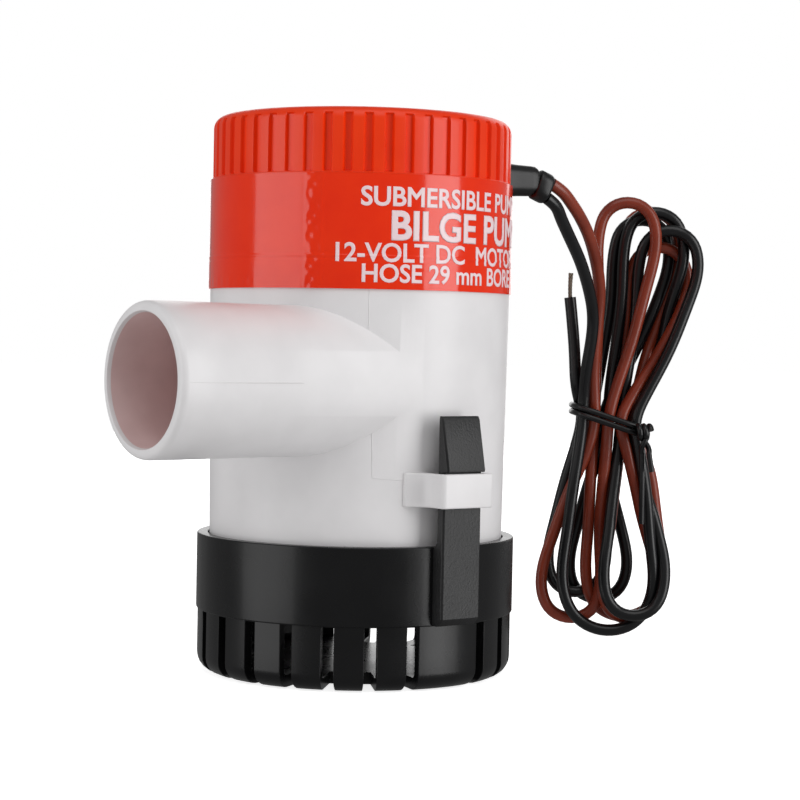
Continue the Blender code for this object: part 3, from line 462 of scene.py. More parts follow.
def tightest(line):
    """Smallest radius of a circle through points three apart, and the height where it is."""
    a, b, c = line[:-6], line[3:-3], line[6:]
    sides = [np.linalg.norm(x - y, axis=1) for x, y in ((a, b), (b, c), (a, c))]
    area = np.linalg.norm(np.cross(b - a, c - a), axis=1)
    radius = sides[0] * sides[1] * sides[2] / np.maximum(2 * area, 1e-9)
    return round(float(radius.min()), 1), round(float(b[radius.argmin(), 2]))


print("tightest bends", [tightest(line) for line in leads])
print("lengths after settling", [round(length_of(line)) for line in leads], "mm")


# %% [markdown]
# ## Plastics, vinyl and rubber
# The real parts are moulded ABS, printed vinyl, PVC insulation and rubber. A flat colour would
# look like a toy, so each finish has the fine unevenness of its own process: mould texture,
# flow in the colour, and a roughness that wanders. Sizes come in millimetres.

# %% Node helpers
def linear(code):
    """Linear colour of an sRGB hex value such as "#E9E7E6"."""
    parts = np.array([int(code[i:i + 2], 16) for i in (1, 3, 5)]) / 255
    parts = np.where(parts <= 0.04045, parts / 12.92, ((parts + 0.055) / 1.055) ** 2.4)
    return (*parts.tolist(), 1.0)


def add_node(tree, kind, settings=None, links=None):
    """Adds a node; settings are its values by name, links its inputs as (node, output)."""
    made = tree.nodes.new(kind)
    for name, value in (settings or {}).items():
        if name in made.inputs:
            made.inputs[name].default_value = value
        else:
            setattr(made, name, value)
    for name, (source, output) in (links or {}).items():
        tree.links.new(source.outputs[output], made.inputs[name])
    return made


def finish(name, colour, tint, roughness, spread, grain, depth, patch=9.0, **shader_values):
    """A finish whose colour and roughness wander over patch mm, with bumps of grain mm."""
    made = bpy.data.materials.new(name)
    made.use_nodes = True
    tree = made.node_tree
    shader = tree.nodes["Principled BSDF"]
    for key, value in shader_values.items():
        shader.inputs[key.replace("_", " ")].default_value = value
    place = add_node(tree, "ShaderNodeTexCoord")
    flow = add_node(tree, "ShaderNodeTexNoise", {"Scale": 1 / (patch * MM), "Detail": 3.0},
                    {"Vector": (place, "Object")})
    ramp = add_node(tree, "ShaderNodeValToRGB", links={"Fac": (flow, "Fac")})
    ramp.color_ramp.elements[0].color = linear(tint)
    ramp.color_ramp.elements[1].color = linear(colour)
    ramp.color_ramp.elements[0].position, ramp.color_ramp.elements[1].position = 0.3, 0.62
    shine = add_node(tree, "ShaderNodeMapRange",
                     {"To Min": roughness - spread, "To Max": roughness + spread},
                     {"Value": (flow, "Fac")})
    skin = add_node(tree, "ShaderNodeTexNoise", {"Scale": 1 / (grain * MM), "Detail": 2.0},
                    {"Vector": (place, "Object")})
    bump = add_node(tree, "ShaderNodeBump", {"Distance": depth * MM, "Strength": 1.0},
                    {"Height": (skin, "Fac")})
    tree.links.new(ramp.outputs["Color"], shader.inputs["Base Color"])
    tree.links.new(shine.outputs["Result"], shader.inputs["Roughness"])
    tree.links.new(bump.outputs["Normal"], shader.inputs["Normal"])
    return made


# %% Finishes
# White ABS, moulded in a satin mould: an even, slightly warm white with soft highlights.
white_abs = finish("white_abs_satin_moulded", "#E9E7E8", "#E4E2E3", 0.36, 0.05, 0.45, 0.006)
# Orange ABS of the same mould finish, whose ribs catch the light along their edges.
orange_abs = finish("orange_abs_satin_moulded", "#F23800", "#EE3300", 0.34, 0.05, 0.5, 0.008,
                    Specular_IOR_Level=0.4)
# Vinyl film printed in one flat orange under a clear gloss, a little redder than the cap.
orange_vinyl = finish("orange_vinyl_film_glossy", "#F03000", "#EC2B00", 0.16, 0.04, 3.0, 0.02,
                      patch=6.0, Coat_Weight=0.42, Coat_Roughness=0.08,
                      Specular_IOR_Level=0.32)
# White ink of the print: flat, with the film's gloss.
white_ink = finish("white_ink_screen_printed", "#F3DDE0", "#F0D6DA", 0.3, 0.03, 0.6, 0.002)
# The same white ABS inside the spigot. It is one plastic with the outside: the mauve is shade
# that is painted in, because no light comes through this wall.
inside_abs_painted_shade = finish("white_abs_inside_painted_shade", "#E2C6C4", "#D8BAB8", 0.42, 0.05, 0.45, 0.006)
# Black ABS of the strainer: nearly polished moulding, so it shows clean broad highlights.
black_abs = finish("black_abs_polished_moulded", "#101011", "#0C0C0D", 0.27, 0.05, 0.6, 0.006,
                   Specular_IOR_Level=0.32)
# Black ABS of the arms: spark-eroded mould, whose pebbles break the highlight up.
pebbled_abs = finish("black_abs_pebbled_moulded", "#131314", "#0F0F10", 0.44, 0.08, 0.42, 0.07)
# Rubber of the boot: matt, with a dull bloom.
boot_rubber = finish("black_rubber_matt_moulded", "#08080A", "#060607", 0.38, 0.06, 0.4, 0.012)
# PVC insulation, extruded: smooth and slightly waxy, brown or black.
brown_pvc = finish("brown_pvc_extruded", "#86331D", "#742A18", 0.33, 0.05, 1.2, 0.012)
black_pvc = finish("black_pvc_extruded", "#0E0F11", "#0A0A0C", 0.30, 0.05, 1.2, 0.012)
# Nylon of the hidden mouldings: matt and slightly mottled.
grey_nylon = finish("grey_nylon_moulded", "#8C8F92", "#84878A", 0.5, 0.05, 0.5, 0.01)
# Zinc-plated sheet: pale metal with a faint spangle.
zinc_steel = finish("steel_zinc_plated", "#C9C9C4", "#BDBDB8", 0.32, 0.08, 2.0, 0.01, Metallic=1.0)
# Stainless steel, ground: clean and tight-grained.
stainless = finish("stainless_steel_ground", "#CCCCCC", "#C2C2C2", 0.25, 0.05, 0.2, 0.004,
                   Metallic=1.0)
# Electrical steel: grey, with the dull insulating film of its laminations.
lamination = finish("electrical_steel_laminated", "#9A9DA2", "#8E9196", 0.45, 0.06, 0.5, 0.02,
                    Metallic=1.0)
# Ferrite: sintered and ground, dark and dry.
ferrite = finish("ferrite_sintered", "#3E3E40", "#363638", 0.7, 0.05, 0.4, 0.02)
# Enamelled copper: warm and shiny, in wound layers.
copper = finish("copper_enamelled", "#D98A5C", "#C97848", 0.28, 0.06, 0.3, 0.04, Metallic=1.0)
# Tinned copper strands: grey, dulled where they were twisted.
tinned = finish("copper_tinned_strands", "#8F8578", "#6E6357", 0.4, 0.08, 0.5, 0.01,
                Metallic=0.85)
# Brass, stamped: yellow and clean.
brass = finish("brass_stamped", "#D9B564", "#CDA752", 0.3, 0.05, 0.6, 0.006, Metallic=1.0)
# Pressed carbon: dull black.
carbon = finish("carbon_pressed", "#2A2A2A", "#222222", 0.6, 0.05, 0.3, 0.02)
# Sintered bronze: brown metal with open pores.
bronze = finish("bronze_sintered", "#A07A45", "#8F6A38", 0.5, 0.08, 0.3, 0.03, Metallic=1.0)
# Dipped ceramic of the capacitor: glossy blue.
blue_dip = finish("ceramic_dipped_blue", "#3C66A8", "#345C9C", 0.25, 0.04, 1.0, 0.01)
print(len(bpy.data.materials), "finishes")


slot_finishes = {
    "grey_nylon": grey_nylon, "plated_steel": zinc_steel, "stainless_steel": stainless,
    "electrical_steel": lamination, "ferrite": ferrite, "copper": copper, "brass": brass,
    "carbon": carbon, "sintered_bronze": bronze, "ceramic_blue": blue_dip,
    "black_rubber": boot_rubber, "brown_pvc": brown_pvc, "black_pvc": black_pvc,
    "white_abs": white_abs, "orange_abs": orange_abs, "orange_vinyl": orange_vinyl,
    "black_abs": black_abs, "tinned_copper": tinned,
}


def dress(made, slot, *stands_for, material=None):
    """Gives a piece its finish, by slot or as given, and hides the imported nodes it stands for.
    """
    made.data.materials.clear()
    made.data.materials.append(material or slot_finishes[slot])
    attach(made, "pump")
    if stands_for:
        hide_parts(*stands_for)
    report(made)
    return made


# %% [markdown]
# ## Finishes of the pieces inside
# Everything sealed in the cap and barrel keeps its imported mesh, since its shape is right, and
# only gets its real finish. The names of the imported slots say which.

# %% Inner pieces
for part in frame["record"]["subparts"]:
    node = frame["nodes"][part["node"]]
    node.data.materials.clear()
    node.data.materials.append(slot_finishes[part["material_slot"]])

# %% [markdown]
# ## The leads and the stripped end
# The tubes follow the settled lines. The stripped end is a bundle of tinned strands with a
# slight twist, so each strand is a helix about the end's line.

# %% Leads
def strand(name, line, radius, sides=14):
    """A round tube along a line of points."""
    rights, ups = frames_along(line, hank_front)
    return swept(name, line, rights, ups, circle(radius, sides), crease=60.0)


lead_meshes = [strand(name, line, WIRE / 2)
               for name, line in zip(("lead_brown_whole", "lead_black_whole"), leads)]
dress(lead_meshes[0], "brown_pvc", "lead_brown", "wire_hank")
dress(lead_meshes[1], "black_pvc", "lead_black", "black_wire_end", "wire_hank")

# %% Stripped end
STRAND_RADIUS = 0.16
TIP_TWIST = 5.0            # millimetres for a whole turn
TIP_RING, TIP_PARTING = 0.30, 0.35
# It starts inside the insulation, and the strands part slightly at their cut ends.
tip_line = spline([leads[1][-3], *TIP_ROUTE], 0.25)
tip_rights, tip_ups = frames_along(tip_line, hank_front)
tip_along = np.linspace(0.0, length_of(tip_line), len(tip_line))
tip_points = []
for ring_radius, number in ((0.0, 1), (TIP_RING, 6)):
    for k in range(number):
        swing = math.tau * (tip_along / TIP_TWIST + k / number)
        spread = ring_radius * (1 + TIP_PARTING * (tip_along / tip_along[-1]) ** 3)
        tip_points.append(wound(tip_line, spread, swing, tip_rights, tip_ups))
strands = [strand(f"tip_strand_{k}", line, STRAND_RADIUS, 8)
           for k, line in enumerate(tip_points)]


def joined(name, pieces):
    """One object that holds several meshes."""
    whole = bmesh.new()
    for made in pieces:
        whole.from_mesh(made.data)
        old = made.data
        bpy.data.objects.remove(made)
        bpy.data.meshes.remove(old)
    mesh = bpy.data.meshes.new(name)
    whole.to_mesh(mesh)
    whole.free()
    return linked(name, mesh)


tip = dress(joined("black_lead_strands", strands), "tinned_copper", "black_wire_tip")

# %% [markdown]
# ## Boot and collar
# A rubber boot passes the leads through the cap and ends in a collar that droops with their
# weight. Both are an upright slot shape carried outwards, swelling and narrowing on the way.

# %% Boot
def slot_bar(name, start, way, up, length, width, height, stations):
    """A stadium section carried along way; stations are (share of the length, scale)."""
    share, scales = np.array(stations).T
    path = start + (share * length)[:, None] * way
    return swept(name, path, np.cross(way, up), up, stadium(width, height), scales, crease=50.0)


BOOT_ROOT, BOOT_TUCK = 28.5, 3.0    # where the sleeve starts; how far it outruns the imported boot
COLLAR_INSET = 1.2
boot = slot_bar("boot_sleeve", BOOT_ROOT * outward + BOOT_LEVEL * upward, outward, upward,
                BOOT_REACH - BOOT_ROOT + BOOT_TUCK, BOOT_WIDTH, BOOT_HEIGHT,
                ((0, 1.12), (0.3, 1.12), (0.42, 1.05), (0.6, 1.0), (0.85, 0.97), (0.95, 0.94),
                 (1.0, 0.84)))
dress(boot, "black_rubber", "cable_boot")
collar = slot_bar("boot_collar", collar_start + COLLAR_INSET * collar_out, collar_out, collar_up,
                  COLLAR_LENGTH - COLLAR_INSET, BOOT_WIDTH + COLLAR_GROWTH / 2, BOOT_HEIGHT,
                  ((0, 0.82), (0.05, 0.94), (0.13, 1.0), (0.8, 1.0), (0.93, 0.95), (1.0, 0.84)))
dress(collar, "black_rubber", "cable_collar")

# %% [markdown]
# ## Tie
# The hank is held by a plastic-covered wire tie, taken twice round the waist and knotted in front.
# Two wires run side by side round a flattened loop, a coil makes the knot, and two tails hang.

# %% Tie
TIE_SLOPE = 18.0           # degrees
TIE_WIRE, TIE_PAIR, TIE_SQUARENESS = 0.72, 0.75, 0.6
KNOT_LENGTH, KNOT_RADIUS, KNOT_TURNS = 2.8, 1.35, 2.2
TAILS, TAIL_PITCH = (21.0, 9.0), 8.0
near_waist = np.concatenate(leads)
near_waist = near_waist[np.abs(near_waist[:, 2] - WAIST) < 3.0] - HANK_MIDDLE
waist_across, waist_front = near_waist @ hank_right, near_waist @ hank_front
slope = math.radians(TIE_SLOPE)
reach_across = np.abs(waist_across).max() + WIRE / 2 + 0.5
reach_front = np.abs(waist_front).max() + WIRE / 2 + 0.5


def round_waist(count, rise):
    """Loop about the waist: a tilted superellipse as wide and deep as the leads."""
    swing = full_turn(count)
    wide = reach_across * np.sign(np.cos(swing)) * np.abs(np.cos(swing)) ** TIE_SQUARENESS
    deep = reach_front * np.sign(np.sin(swing)) * np.abs(np.sin(swing)) ** TIE_SQUARENESS
    return in_hank(np.stack([wide * math.cos(slope), WAIST - wide * math.sin(slope) + rise, deep],
                            -1))


def closed_ring(name, line, radius, sides=10):
    """A round tube along a line that closes on itself."""
    tangent = unit(np.roll(line, -1, 0) - np.roll(line, 1, 0))
    rights = unit(np.cross(tangent, upward))
    ups = np.cross(rights, tangent)
    section = circle(radius, sides)
    points = line[:, None] + section[:, :1] * rights[:, None] + section[:, 1:] * ups[:, None]
    closed = np.concatenate([points, points[:1]])
    return make_piece(name, closed, grid_faces(len(closed), sides), 60.0)


tie_parts = [closed_ring(f"tie_loop_{k}", round_waist(96, rise), TIE_WIRE)
             for k, rise in enumerate((-TIE_PAIR, TIE_PAIR))]
KNOT = in_hank([(reach_across * 0.86, WAIST - reach_across * 0.86 * math.sin(slope),
                 reach_front + 0.9)])[0]
coil = np.linspace(0, 1, 60)
knot_line = KNOT + ((coil - 0.5) * KNOT_LENGTH)[:, None] * hank_right
tie_parts.append(strand("tie_knot", wound(knot_line, KNOT_RADIUS, math.tau * KNOT_TURNS * coil,
                                          upward, hank_front), TIE_WIRE, 8))
twist_down = -upward + 0.06 * hank_right
for k, tail in enumerate(TAILS):
    share = np.linspace(0, 1, 90)
    swing = math.tau * np.minimum(share * tail / TAIL_PITCH, 0.6) + math.pi * k
    spread = 0.7 + 0.9 * share ** 1.5
    line = wound(KNOT + (share * tail)[:, None] * twist_down, spread, swing, hank_right,
                 hank_front)
    tie_parts.append(strand(f"tie_tail_{k}", line, TIE_WIRE - 0.08, 8))
tie = dress(joined("twisted_tie", tie_parts), "black_pvc", "hank_tie")

# %% [markdown]
# ## Strainer
# The strainer is one black moulding: a plain collar above, and below it a cup cut by narrow
# slots that run in under the floor. Cutting the slots with Booleans would leave ragged
# shading, so the grid's columns follow the slots' sides instead. A slot keeps one width, so
# at radius r its sides lie asin(half width / r) either side of its middle.

# %% Strainer sizes
RING_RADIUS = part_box("strainer_base")[1].y / MM
RING_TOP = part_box("strainer_base")[1].z / MM
RING_FOOT, RING_WALL, GRILLE_STEP = 12.6, 2.2, 0.35
CORNER, FLOOR = 3.5, 2.4
LEDGE_TOP, LEDGE_THICK, LEDGE_DEPTH = 14.4, 1.5, 2.75
SLOTS, SLOT_WIDTH, SLOT_INNER = 24, 2.5, 21.0
BAR_COLUMNS = 5
grille, inside = RING_RADIUS - GRILLE_STEP, RING_RADIUS - RING_WALL
chamber = grille - RING_WALL
slot_top = RING_FOOT - 0.05
outer_slot = np.concatenate([
    [(SLOT_INNER, 0.0), (25.0, 0.0)],
    arc((grille - CORNER, CORNER), CORNER, -90, 0, 6), [(grille, 8.0), (grille, slot_top)]])
inner_slot = np.concatenate([
    [(SLOT_INNER, FLOOR), (25.0, FLOOR)],
    arc((chamber - 1.1, FLOOR + 1.1), 1.1, -90, 0, 6), [(chamber, 8.0), (chamber, slot_top)]])
above_slots = eased([
    (grille, slot_top, 0), (grille, RING_FOOT + 0.1, 0.05), (RING_RADIUS, RING_FOOT + 0.1, 0.25),
    (RING_RADIUS, RING_TOP, 0.35), (inside, RING_TOP, 0.3), (inside, LEDGE_TOP, 0.2),
    (inside - LEDGE_DEPTH, LEDGE_TOP, 0.2), (inside - LEDGE_DEPTH, LEDGE_TOP - LEDGE_THICK, 0.2),
    (chamber, LEDGE_TOP - LEDGE_THICK, 0.1), (chamber, slot_top, 0)])[1:-1]
profile = np.concatenate([[(0.0, 0.0), (12.0, 0.0)], outer_slot, above_slots, inner_slot[::-1],
                          [(12.0, FLOOR), (0.0, FLOOR)]])
outer_rows = 2 + np.arange(len(outer_slot))
inner_rows = len(profile) - 3 - np.arange(len(inner_slot))


# %% Slotted cup
def slot_columns(radius):
    """Angles of all columns at a radius: each slot's two sides, then the bar to the next slot."""
    half = math.asin(SLOT_WIDTH / 2 / max(radius, SLOT_INNER))
    pitch = math.tau / SLOTS
    bar = np.linspace(half, pitch - half, BAR_COLUMNS + 2)[1:-1]
    return (np.arange(SLOTS)[:, None] * pitch + np.array([-half, half, *bar])).ravel()


turns = np.array([slot_columns(radius) for radius in profile[:, 0]])
cup = turned(profile, turns)
rows, columns = turns.shape
faces = grid_faces(rows, columns).reshape(rows - 1, columns, 4)
per_slot = BAR_COLUMNS + 2
open_slots = [k for k in range(SLOTS) if k % (SLOTS // 2)]
kept = np.ones((rows - 1, columns), bool)
for k in open_slots:
    kept[outer_rows[:-1], k * per_slot] = False
    kept[inner_rows[1:], k * per_slot] = False
walls = []
for k in open_slots:
    for column in (k * per_slot, k * per_slot + 1):
        a, b = outer_rows[:-1] * columns + column, outer_rows[1:] * columns + column
        c, d = inner_rows[1:] * columns + column, inner_rows[:-1] * columns + column
        walls.append(np.stack([a, b, c, d], -1))
    for row_out, row_in in ((outer_rows[0], inner_rows[0]), (outer_rows[-1], inner_rows[-1])):
        left, right = k * per_slot, k * per_slot + 1
        walls.append(np.array([[row_out * columns + left, row_out * columns + right,
                                row_in * columns + right, row_in * columns + left]]))
strainer = make_piece("strainer_cup", cup, np.concatenate([faces[kept], *walls]).tolist())
soften(strainer, 0.16)
dress(strainer, "black_abs", "strainer_base")

# %% [markdown]
# ## Snap arms
# On the real pump each arm is one moulding with the strainer, and it bends where it leaves the
# collar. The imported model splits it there, so one skin runs over the split and blends from the
# pump to the arm. It is a rounded bar whose front and back are functions of height.

# %% Arms
ARM_WIDTH, ARM_FACE, ARM_THICK = 9.4, 35.0, 2.1
ROOT_CHAMFER = 1.4
ARM_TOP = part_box("snap_arm_right")[1].z / MM
HOOK_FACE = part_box("snap_arm_right")[1].x / MM
HOOK_TIP = 34.2
LOOP_FOOT, LOOP_TOP = 35.7, 42.3
ROOT_FOOT = RING_FOOT + 0.2
HOOK_FOOT = LOOP_TOP + GAP
root_back, arm_back = inside + 0.6, ARM_FACE - ARM_THICK
arm_rows = np.array([               # height, back, front
    (ROOT_FOOT, root_back, ARM_FACE - ROOT_CHAMFER),
    (ROOT_FOOT + ROOT_CHAMFER, root_back, ARM_FACE),
    (20.0, root_back, ARM_FACE), (26.9, root_back, ARM_FACE),
    (28.1, 32.2, ARM_FACE), (28.9, arm_back, ARM_FACE),
    (29.6, arm_back, ARM_FACE), (31.0, arm_back, ARM_FACE),
    (36.0, arm_back, ARM_FACE), (HOOK_FOOT - 0.05, arm_back, ARM_FACE),
    (HOOK_FOOT, arm_back, HOOK_FACE - 0.1),
    (HOOK_FOOT + 0.45, arm_back, HOOK_FACE),
    (ARM_TOP - 0.6, arm_back, HOOK_TIP),
    (ARM_TOP, arm_back + 0.1, HOOK_TIP - 0.4)])


def snap_arm(name, way):
    """Rows of a rectangle with cut corners, from the back to the front face."""
    height, back, front = arm_rows.T
    cut = 0.35
    half = ARM_WIDTH / 2
    corners = [(back, half - cut), (back + cut, half), (front - cut, half), (front, half - cut),
               (front, -half + cut), (front - cut, -half), (back + cut, -half),
               (back, -half + cut)]
    grid = np.stack([np.stack([way * x, np.broadcast_to(way * y, x.shape), height], -1)
                     for x, y in corners], 1)
    made = prism(name, grid, 25.0)
    soften(made, 0.22, 2, 30.0)
    return made


for label, way in (("right", 1), ("left", -1)):
    arm = snap_arm(f"arm_skin_{label}", way)
    arm.data.materials.append(pebbled_abs)
    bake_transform(arm)
    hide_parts(f"snap_arm_{label}")
    report(arm)


# %% [markdown]
# ## Pump body
# The barrel, its hose spigot and the two loops are one white moulding. The spigot runs into the
# barrel at a tangent, and the edge where they meet follows no simple rule, so here the exact
# Boolean is the better tool: each solid is still a turned profile, fine enough to stay round.

# %% Body sizes
BODY_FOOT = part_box("pump_body")[0].z / MM
BODY_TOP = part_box("pump_body")[1].z / MM
LOOP_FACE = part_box("pump_body")[1].x / MM
SPIGOT_REACH = -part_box("pump_body")[0].y / MM
FOOT_RADIUS = inside - GAP
TOP_RADIUS, BODY_WALL = 30.6, 2.9
LABEL_FOOT, LABEL_TOP = (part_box("label_band")[k].z / MM for k in (0, 1))
SPIGOT_RADIUS, SPIGOT_BORE = 14.7, 12.5
SPIGOT_OFFSET, SPIGOT_HEIGHT = 15.1, 59.5
SPIGOT_STEPS = (8.0, 13.1, 18.3)    # faint steps of the mould's sleeve, back from the mouth
LOOP_HALF, LOOP_ROOT_HALF, LOOP_WALL, LOOP_SIDE_GAP = 6.2, 9.6, 1.3, 0.45
ROUND, SPIGOT_ROUND = 192, 144      # faces round each
FOOT_SEAT_RADIUS, FOOT_SEAT_TOP = 27.9, 17.5
FLANGE_SEAT_RADIUS, FLANGE_SEAT = 28.9, 78.8
LOOP_CORNER, LOOP_FLARE_START, LOOP_FLARE = 0.9, 1.2, 5.2


# %% Body solids
def turned_solid(name, profile, count=ROUND, crease=35.0):
    """A closed solid: a profile that starts and ends on the axis, turned all the way round."""
    grid = turned(np.asarray(profile, float), full_turn(count))
    return make_piece(name, grid, grid_faces(len(profile), count).tolist(), crease)


def to_spigot(made):
    """Turns a solid made about Z so that its axis is the spigot's."""
    made.data.transform(Matrix.Translation((SPIGOT_OFFSET * MM, 0, SPIGOT_HEIGHT * MM))
                        @ Matrix.Rotation(math.radians(90), 4, "X"))
    return made


barrel = turned_solid("pump_barrel", eased([
    (0, BODY_FOOT, 0), (FOOT_RADIUS, BODY_FOOT, 0.6), (FOOT_RADIUS, RING_TOP, 2.0),
    (TOP_RADIUS, LABEL_FOOT, 2.0), (TOP_RADIUS, BODY_TOP, 0.25), (0, BODY_TOP, 0)]))
spigot_corners = [(0, 3.0, 0), (SPIGOT_RADIUS - 0.12, 3.0, 0)]
for number, back in enumerate(reversed(SPIGOT_STEPS)):
    height = SPIGOT_REACH - back
    low = SPIGOT_RADIUS - 0.04 * (len(SPIGOT_STEPS) - number)
    spigot_corners += [(low, height - 0.12, 0), (low + 0.04, height, 0)]
spigot_corners += [(SPIGOT_RADIUS, SPIGOT_REACH, 1.5), (SPIGOT_BORE, SPIGOT_REACH, 0),
                   (0, SPIGOT_REACH, 0)]
spigot = to_spigot(turned_solid("spigot_barrel", eased(spigot_corners, 7), SPIGOT_ROUND))
bore = to_spigot(turned_solid("spigot_bore", [
    (0, 2.0), (SPIGOT_BORE - 0.1, 2.0), (SPIGOT_BORE, SPIGOT_REACH - 0.7),
    (SPIGOT_BORE + 0.35, SPIGOT_REACH + 0.1), (SPIGOT_BORE + 0.35, SPIGOT_REACH + 4),
    (0, SPIGOT_REACH + 4)], SPIGOT_ROUND))
cavity = turned_solid("barrel_cavity", [
    (0, BODY_FOOT - 2), (FOOT_SEAT_RADIUS, BODY_FOOT - 2), (FOOT_SEAT_RADIUS, FOOT_SEAT_TOP),
    (FOOT_RADIUS - BODY_WALL, FOOT_SEAT_TOP), (TOP_RADIUS - BODY_WALL, FLANGE_SEAT),
    (FLANGE_SEAT_RADIUS, FLANGE_SEAT), (FLANGE_SEAT_RADIUS, BODY_TOP + 2), (0, BODY_TOP + 2)])


def snap_loop(name, way):
    """Staple plan, raised: straight sides that flare where they root in the barrel."""
    hole = ARM_WIDTH / 2 + LOOP_SIDE_GAP
    root = FOOT_RADIUS - BODY_WALL * 2 / 3
    flare = np.linspace(0, 1, 9)
    flare_x = root + LOOP_FLARE_START + LOOP_FLARE * flare
    flare_y = LOOP_HALF + (LOOP_ROOT_HALF - LOOP_HALF) * (1 - flare) ** 2.6
    corner = arc((LOOP_FACE - LOOP_CORNER, LOOP_HALF - LOOP_CORNER), LOOP_CORNER, 90, 0, 5)
    inner = arc((LOOP_FACE - LOOP_WALL - 0.3, hole - 0.3), 0.3, 0, 90, 3)
    half = np.concatenate([[(root, hole), (root, LOOP_ROOT_HALF)],
                           np.stack([flare_x, flare_y], -1), corner])
    plan = np.concatenate([half, half[::-1] * (1, -1), inner[::-1] * (1, -1), inner])
    rows = np.stack([np.column_stack([way * plan, np.full(len(plan), z)])
                     for z in (LOOP_FOOT, LOOP_TOP)])
    made = prism(name, rows, 30.0)
    soften(made, 0.3, 3, 50.0)
    return made


loops = [snap_loop(f"snap_loop_{label}", way) for label, way in (("right", 1), ("left", -1))]


# %% Join and cut the body
def combined(base, steps):
    """The base with an exact Boolean of each (operation, solid), as one finished mesh."""
    for operation, other in steps:
        step = base.modifiers.new(other.name, "BOOLEAN")
        step.operation, step.solver, step.object = operation, "EXACT", other
    graph = bpy.context.evaluated_depsgraph_get()
    mesh = bpy.data.meshes.new_from_object(base.evaluated_get(graph))
    base.modifiers.clear()
    base.data = mesh
    for _, other in steps:
        bpy.data.objects.remove(other)
    return base


body = combined(barrel, [("UNION", spigot), *(("UNION", loop) for loop in loops),
                         ("DIFFERENCE", cavity), ("DIFFERENCE", bore)])
body.data.shade_smooth()
body.data.set_sharp_from_angle(angle=math.radians(32))
body.name = "pump_moulding"
dress(body, "white_abs", "pump_body")
# The faces inside the spigot and the barrel take the second finish, whose mauve is painted shade.
body.data.materials.append(inside_abs_painted_shade)
centres = np.zeros(len(body.data.polygons) * 3, np.float32)
body.data.polygons.foreach_get("center", centres)
centres = centres.reshape(-1, 3) / MM
from_axis = np.hypot(centres[:, 0] - SPIGOT_OFFSET, centres[:, 2] - SPIGOT_HEIGHT)
in_bore = (from_axis < SPIGOT_BORE + 0.2) & (centres[:, 1] < -14.0)
in_bore &= centres[:, 1] > 0.8 - SPIGOT_REACH
in_barrel = np.hypot(centres[:, 0], centres[:, 1]) < TOP_RADIUS - BODY_WALL + 0.3
body.data.polygons.foreach_set("material_index", (in_bore | in_barrel).astype(np.int32))
print("faces inside the spigot and barrel", int((in_bore | in_barrel).sum()))

# %% [markdown]
# ## Parting lines
# The mould opens in halves, and its joint leaves a hair-thin raised line on the barrel and
# along the spigot. Painted lines would vanish when the light moves, so each is a real ridge, a
# flat half-round carried along the surface.

# %% Parting lines
RIDGE = 0.09


def barrel_radius(height):
    """Radius of the barrel's taper at a height."""
    return np.interp(height, (RING_TOP, LABEL_FOOT), (FOOT_RADIUS, TOP_RADIUS))


def on_barrel(points, spacing=0.8):
    """A line on the barrel through (angle in degrees, height) points, and its way out."""
    points = np.asarray(points, float)
    span = np.concatenate([[0], np.cumsum(np.hypot(np.radians(np.diff(points[:, 0])) * 30,
                                                   np.diff(points[:, 1])))])
    at = np.linspace(0, span[-1], max(4, round(span[-1] / spacing)))
    swing = np.radians(np.interp(at, span, points[:, 0]))
    height = np.interp(at, span, points[:, 1])
    out = np.stack([np.cos(swing), np.sin(swing), np.zeros_like(swing)], -1)
    return out * barrel_radius(height)[:, None] + height[:, None] * upward, out


ridges = []
for number, route in enumerate((
        ((-32.6, 77.3), (-32.6, 68.6)), ((-30.6, 50.6), (-30.2, 41.2)),
        ((-30.2, 41.2), (-18.6, 40.8)), ((147.4, 77.3), (147.4, RING_TOP + 0.3)))):
    line, out = on_barrel(route)
    tangent = unit(np.gradient(line, axis=0))
    ridges.append(swept(f"ridge_{number}", line, np.cross(tangent, out), out,
                        circle(RIDGE, 8), crease=80.0))
for number, way in enumerate((-1, 1)):
    ahead = np.linspace(34.0 if way > 0 else 20.0, SPIGOT_REACH - 1.6, 30)
    line = np.stack([np.full_like(ahead, SPIGOT_OFFSET + way * (SPIGOT_RADIUS - 0.04)), -ahead,
                     np.full_like(ahead, SPIGOT_HEIGHT)], -1)
    ridges.append(swept(f"ridge_spigot_{number}", line, upward, np.array((way, 0.0, 0.0)),
                        circle(RIDGE, 8), crease=80.0))
dress(joined("parting_lines", ridges), "white_abs")

# %% [markdown]
# ## Motor cap
# The orange cap has 48 fine ribs that a hand can grip. They could be an array of small bars,
# but ribs moulded into a cup have soft roots, so the cap is one turned grid whose radius dips
# by a smooth step in every groove. Inside are the bore and the sleeve that hold the motor.

# %% Cap sizes
CAP_FOOT, CAP_TOP = (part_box("motor_cap")[k].z / MM for k in (0, 1))
CAP_RADIUS, SKIRT_RADIUS, CAP_WALL, CAP_ROOF = 30.4, 30.5, 2.4, 2.6
CAP_CORNER, RIB_FOOT, RIBS = 2.5, 99.8, 48
DIMPLE_RADIUS, DIMPLE_DEPTH = 2.2, 0.15         # a shallow round dip in the roof, guessed
GROOVE_FLOOR, GROOVE_HALF, GROOVE_TOP = 29.6, 0.825, 1.2
SLEEVE, SLEEVE_WALL, SLEEVE_FOOT = 15.0, 1.8, 79.8


def smooth_step(low, high, value):
    """0 below low, 1 above high, and 3t^2 - 2t^3 between them."""
    share = np.clip((value - low) / (high - low), 0, 1)
    return share * share * (3 - 2 * share)


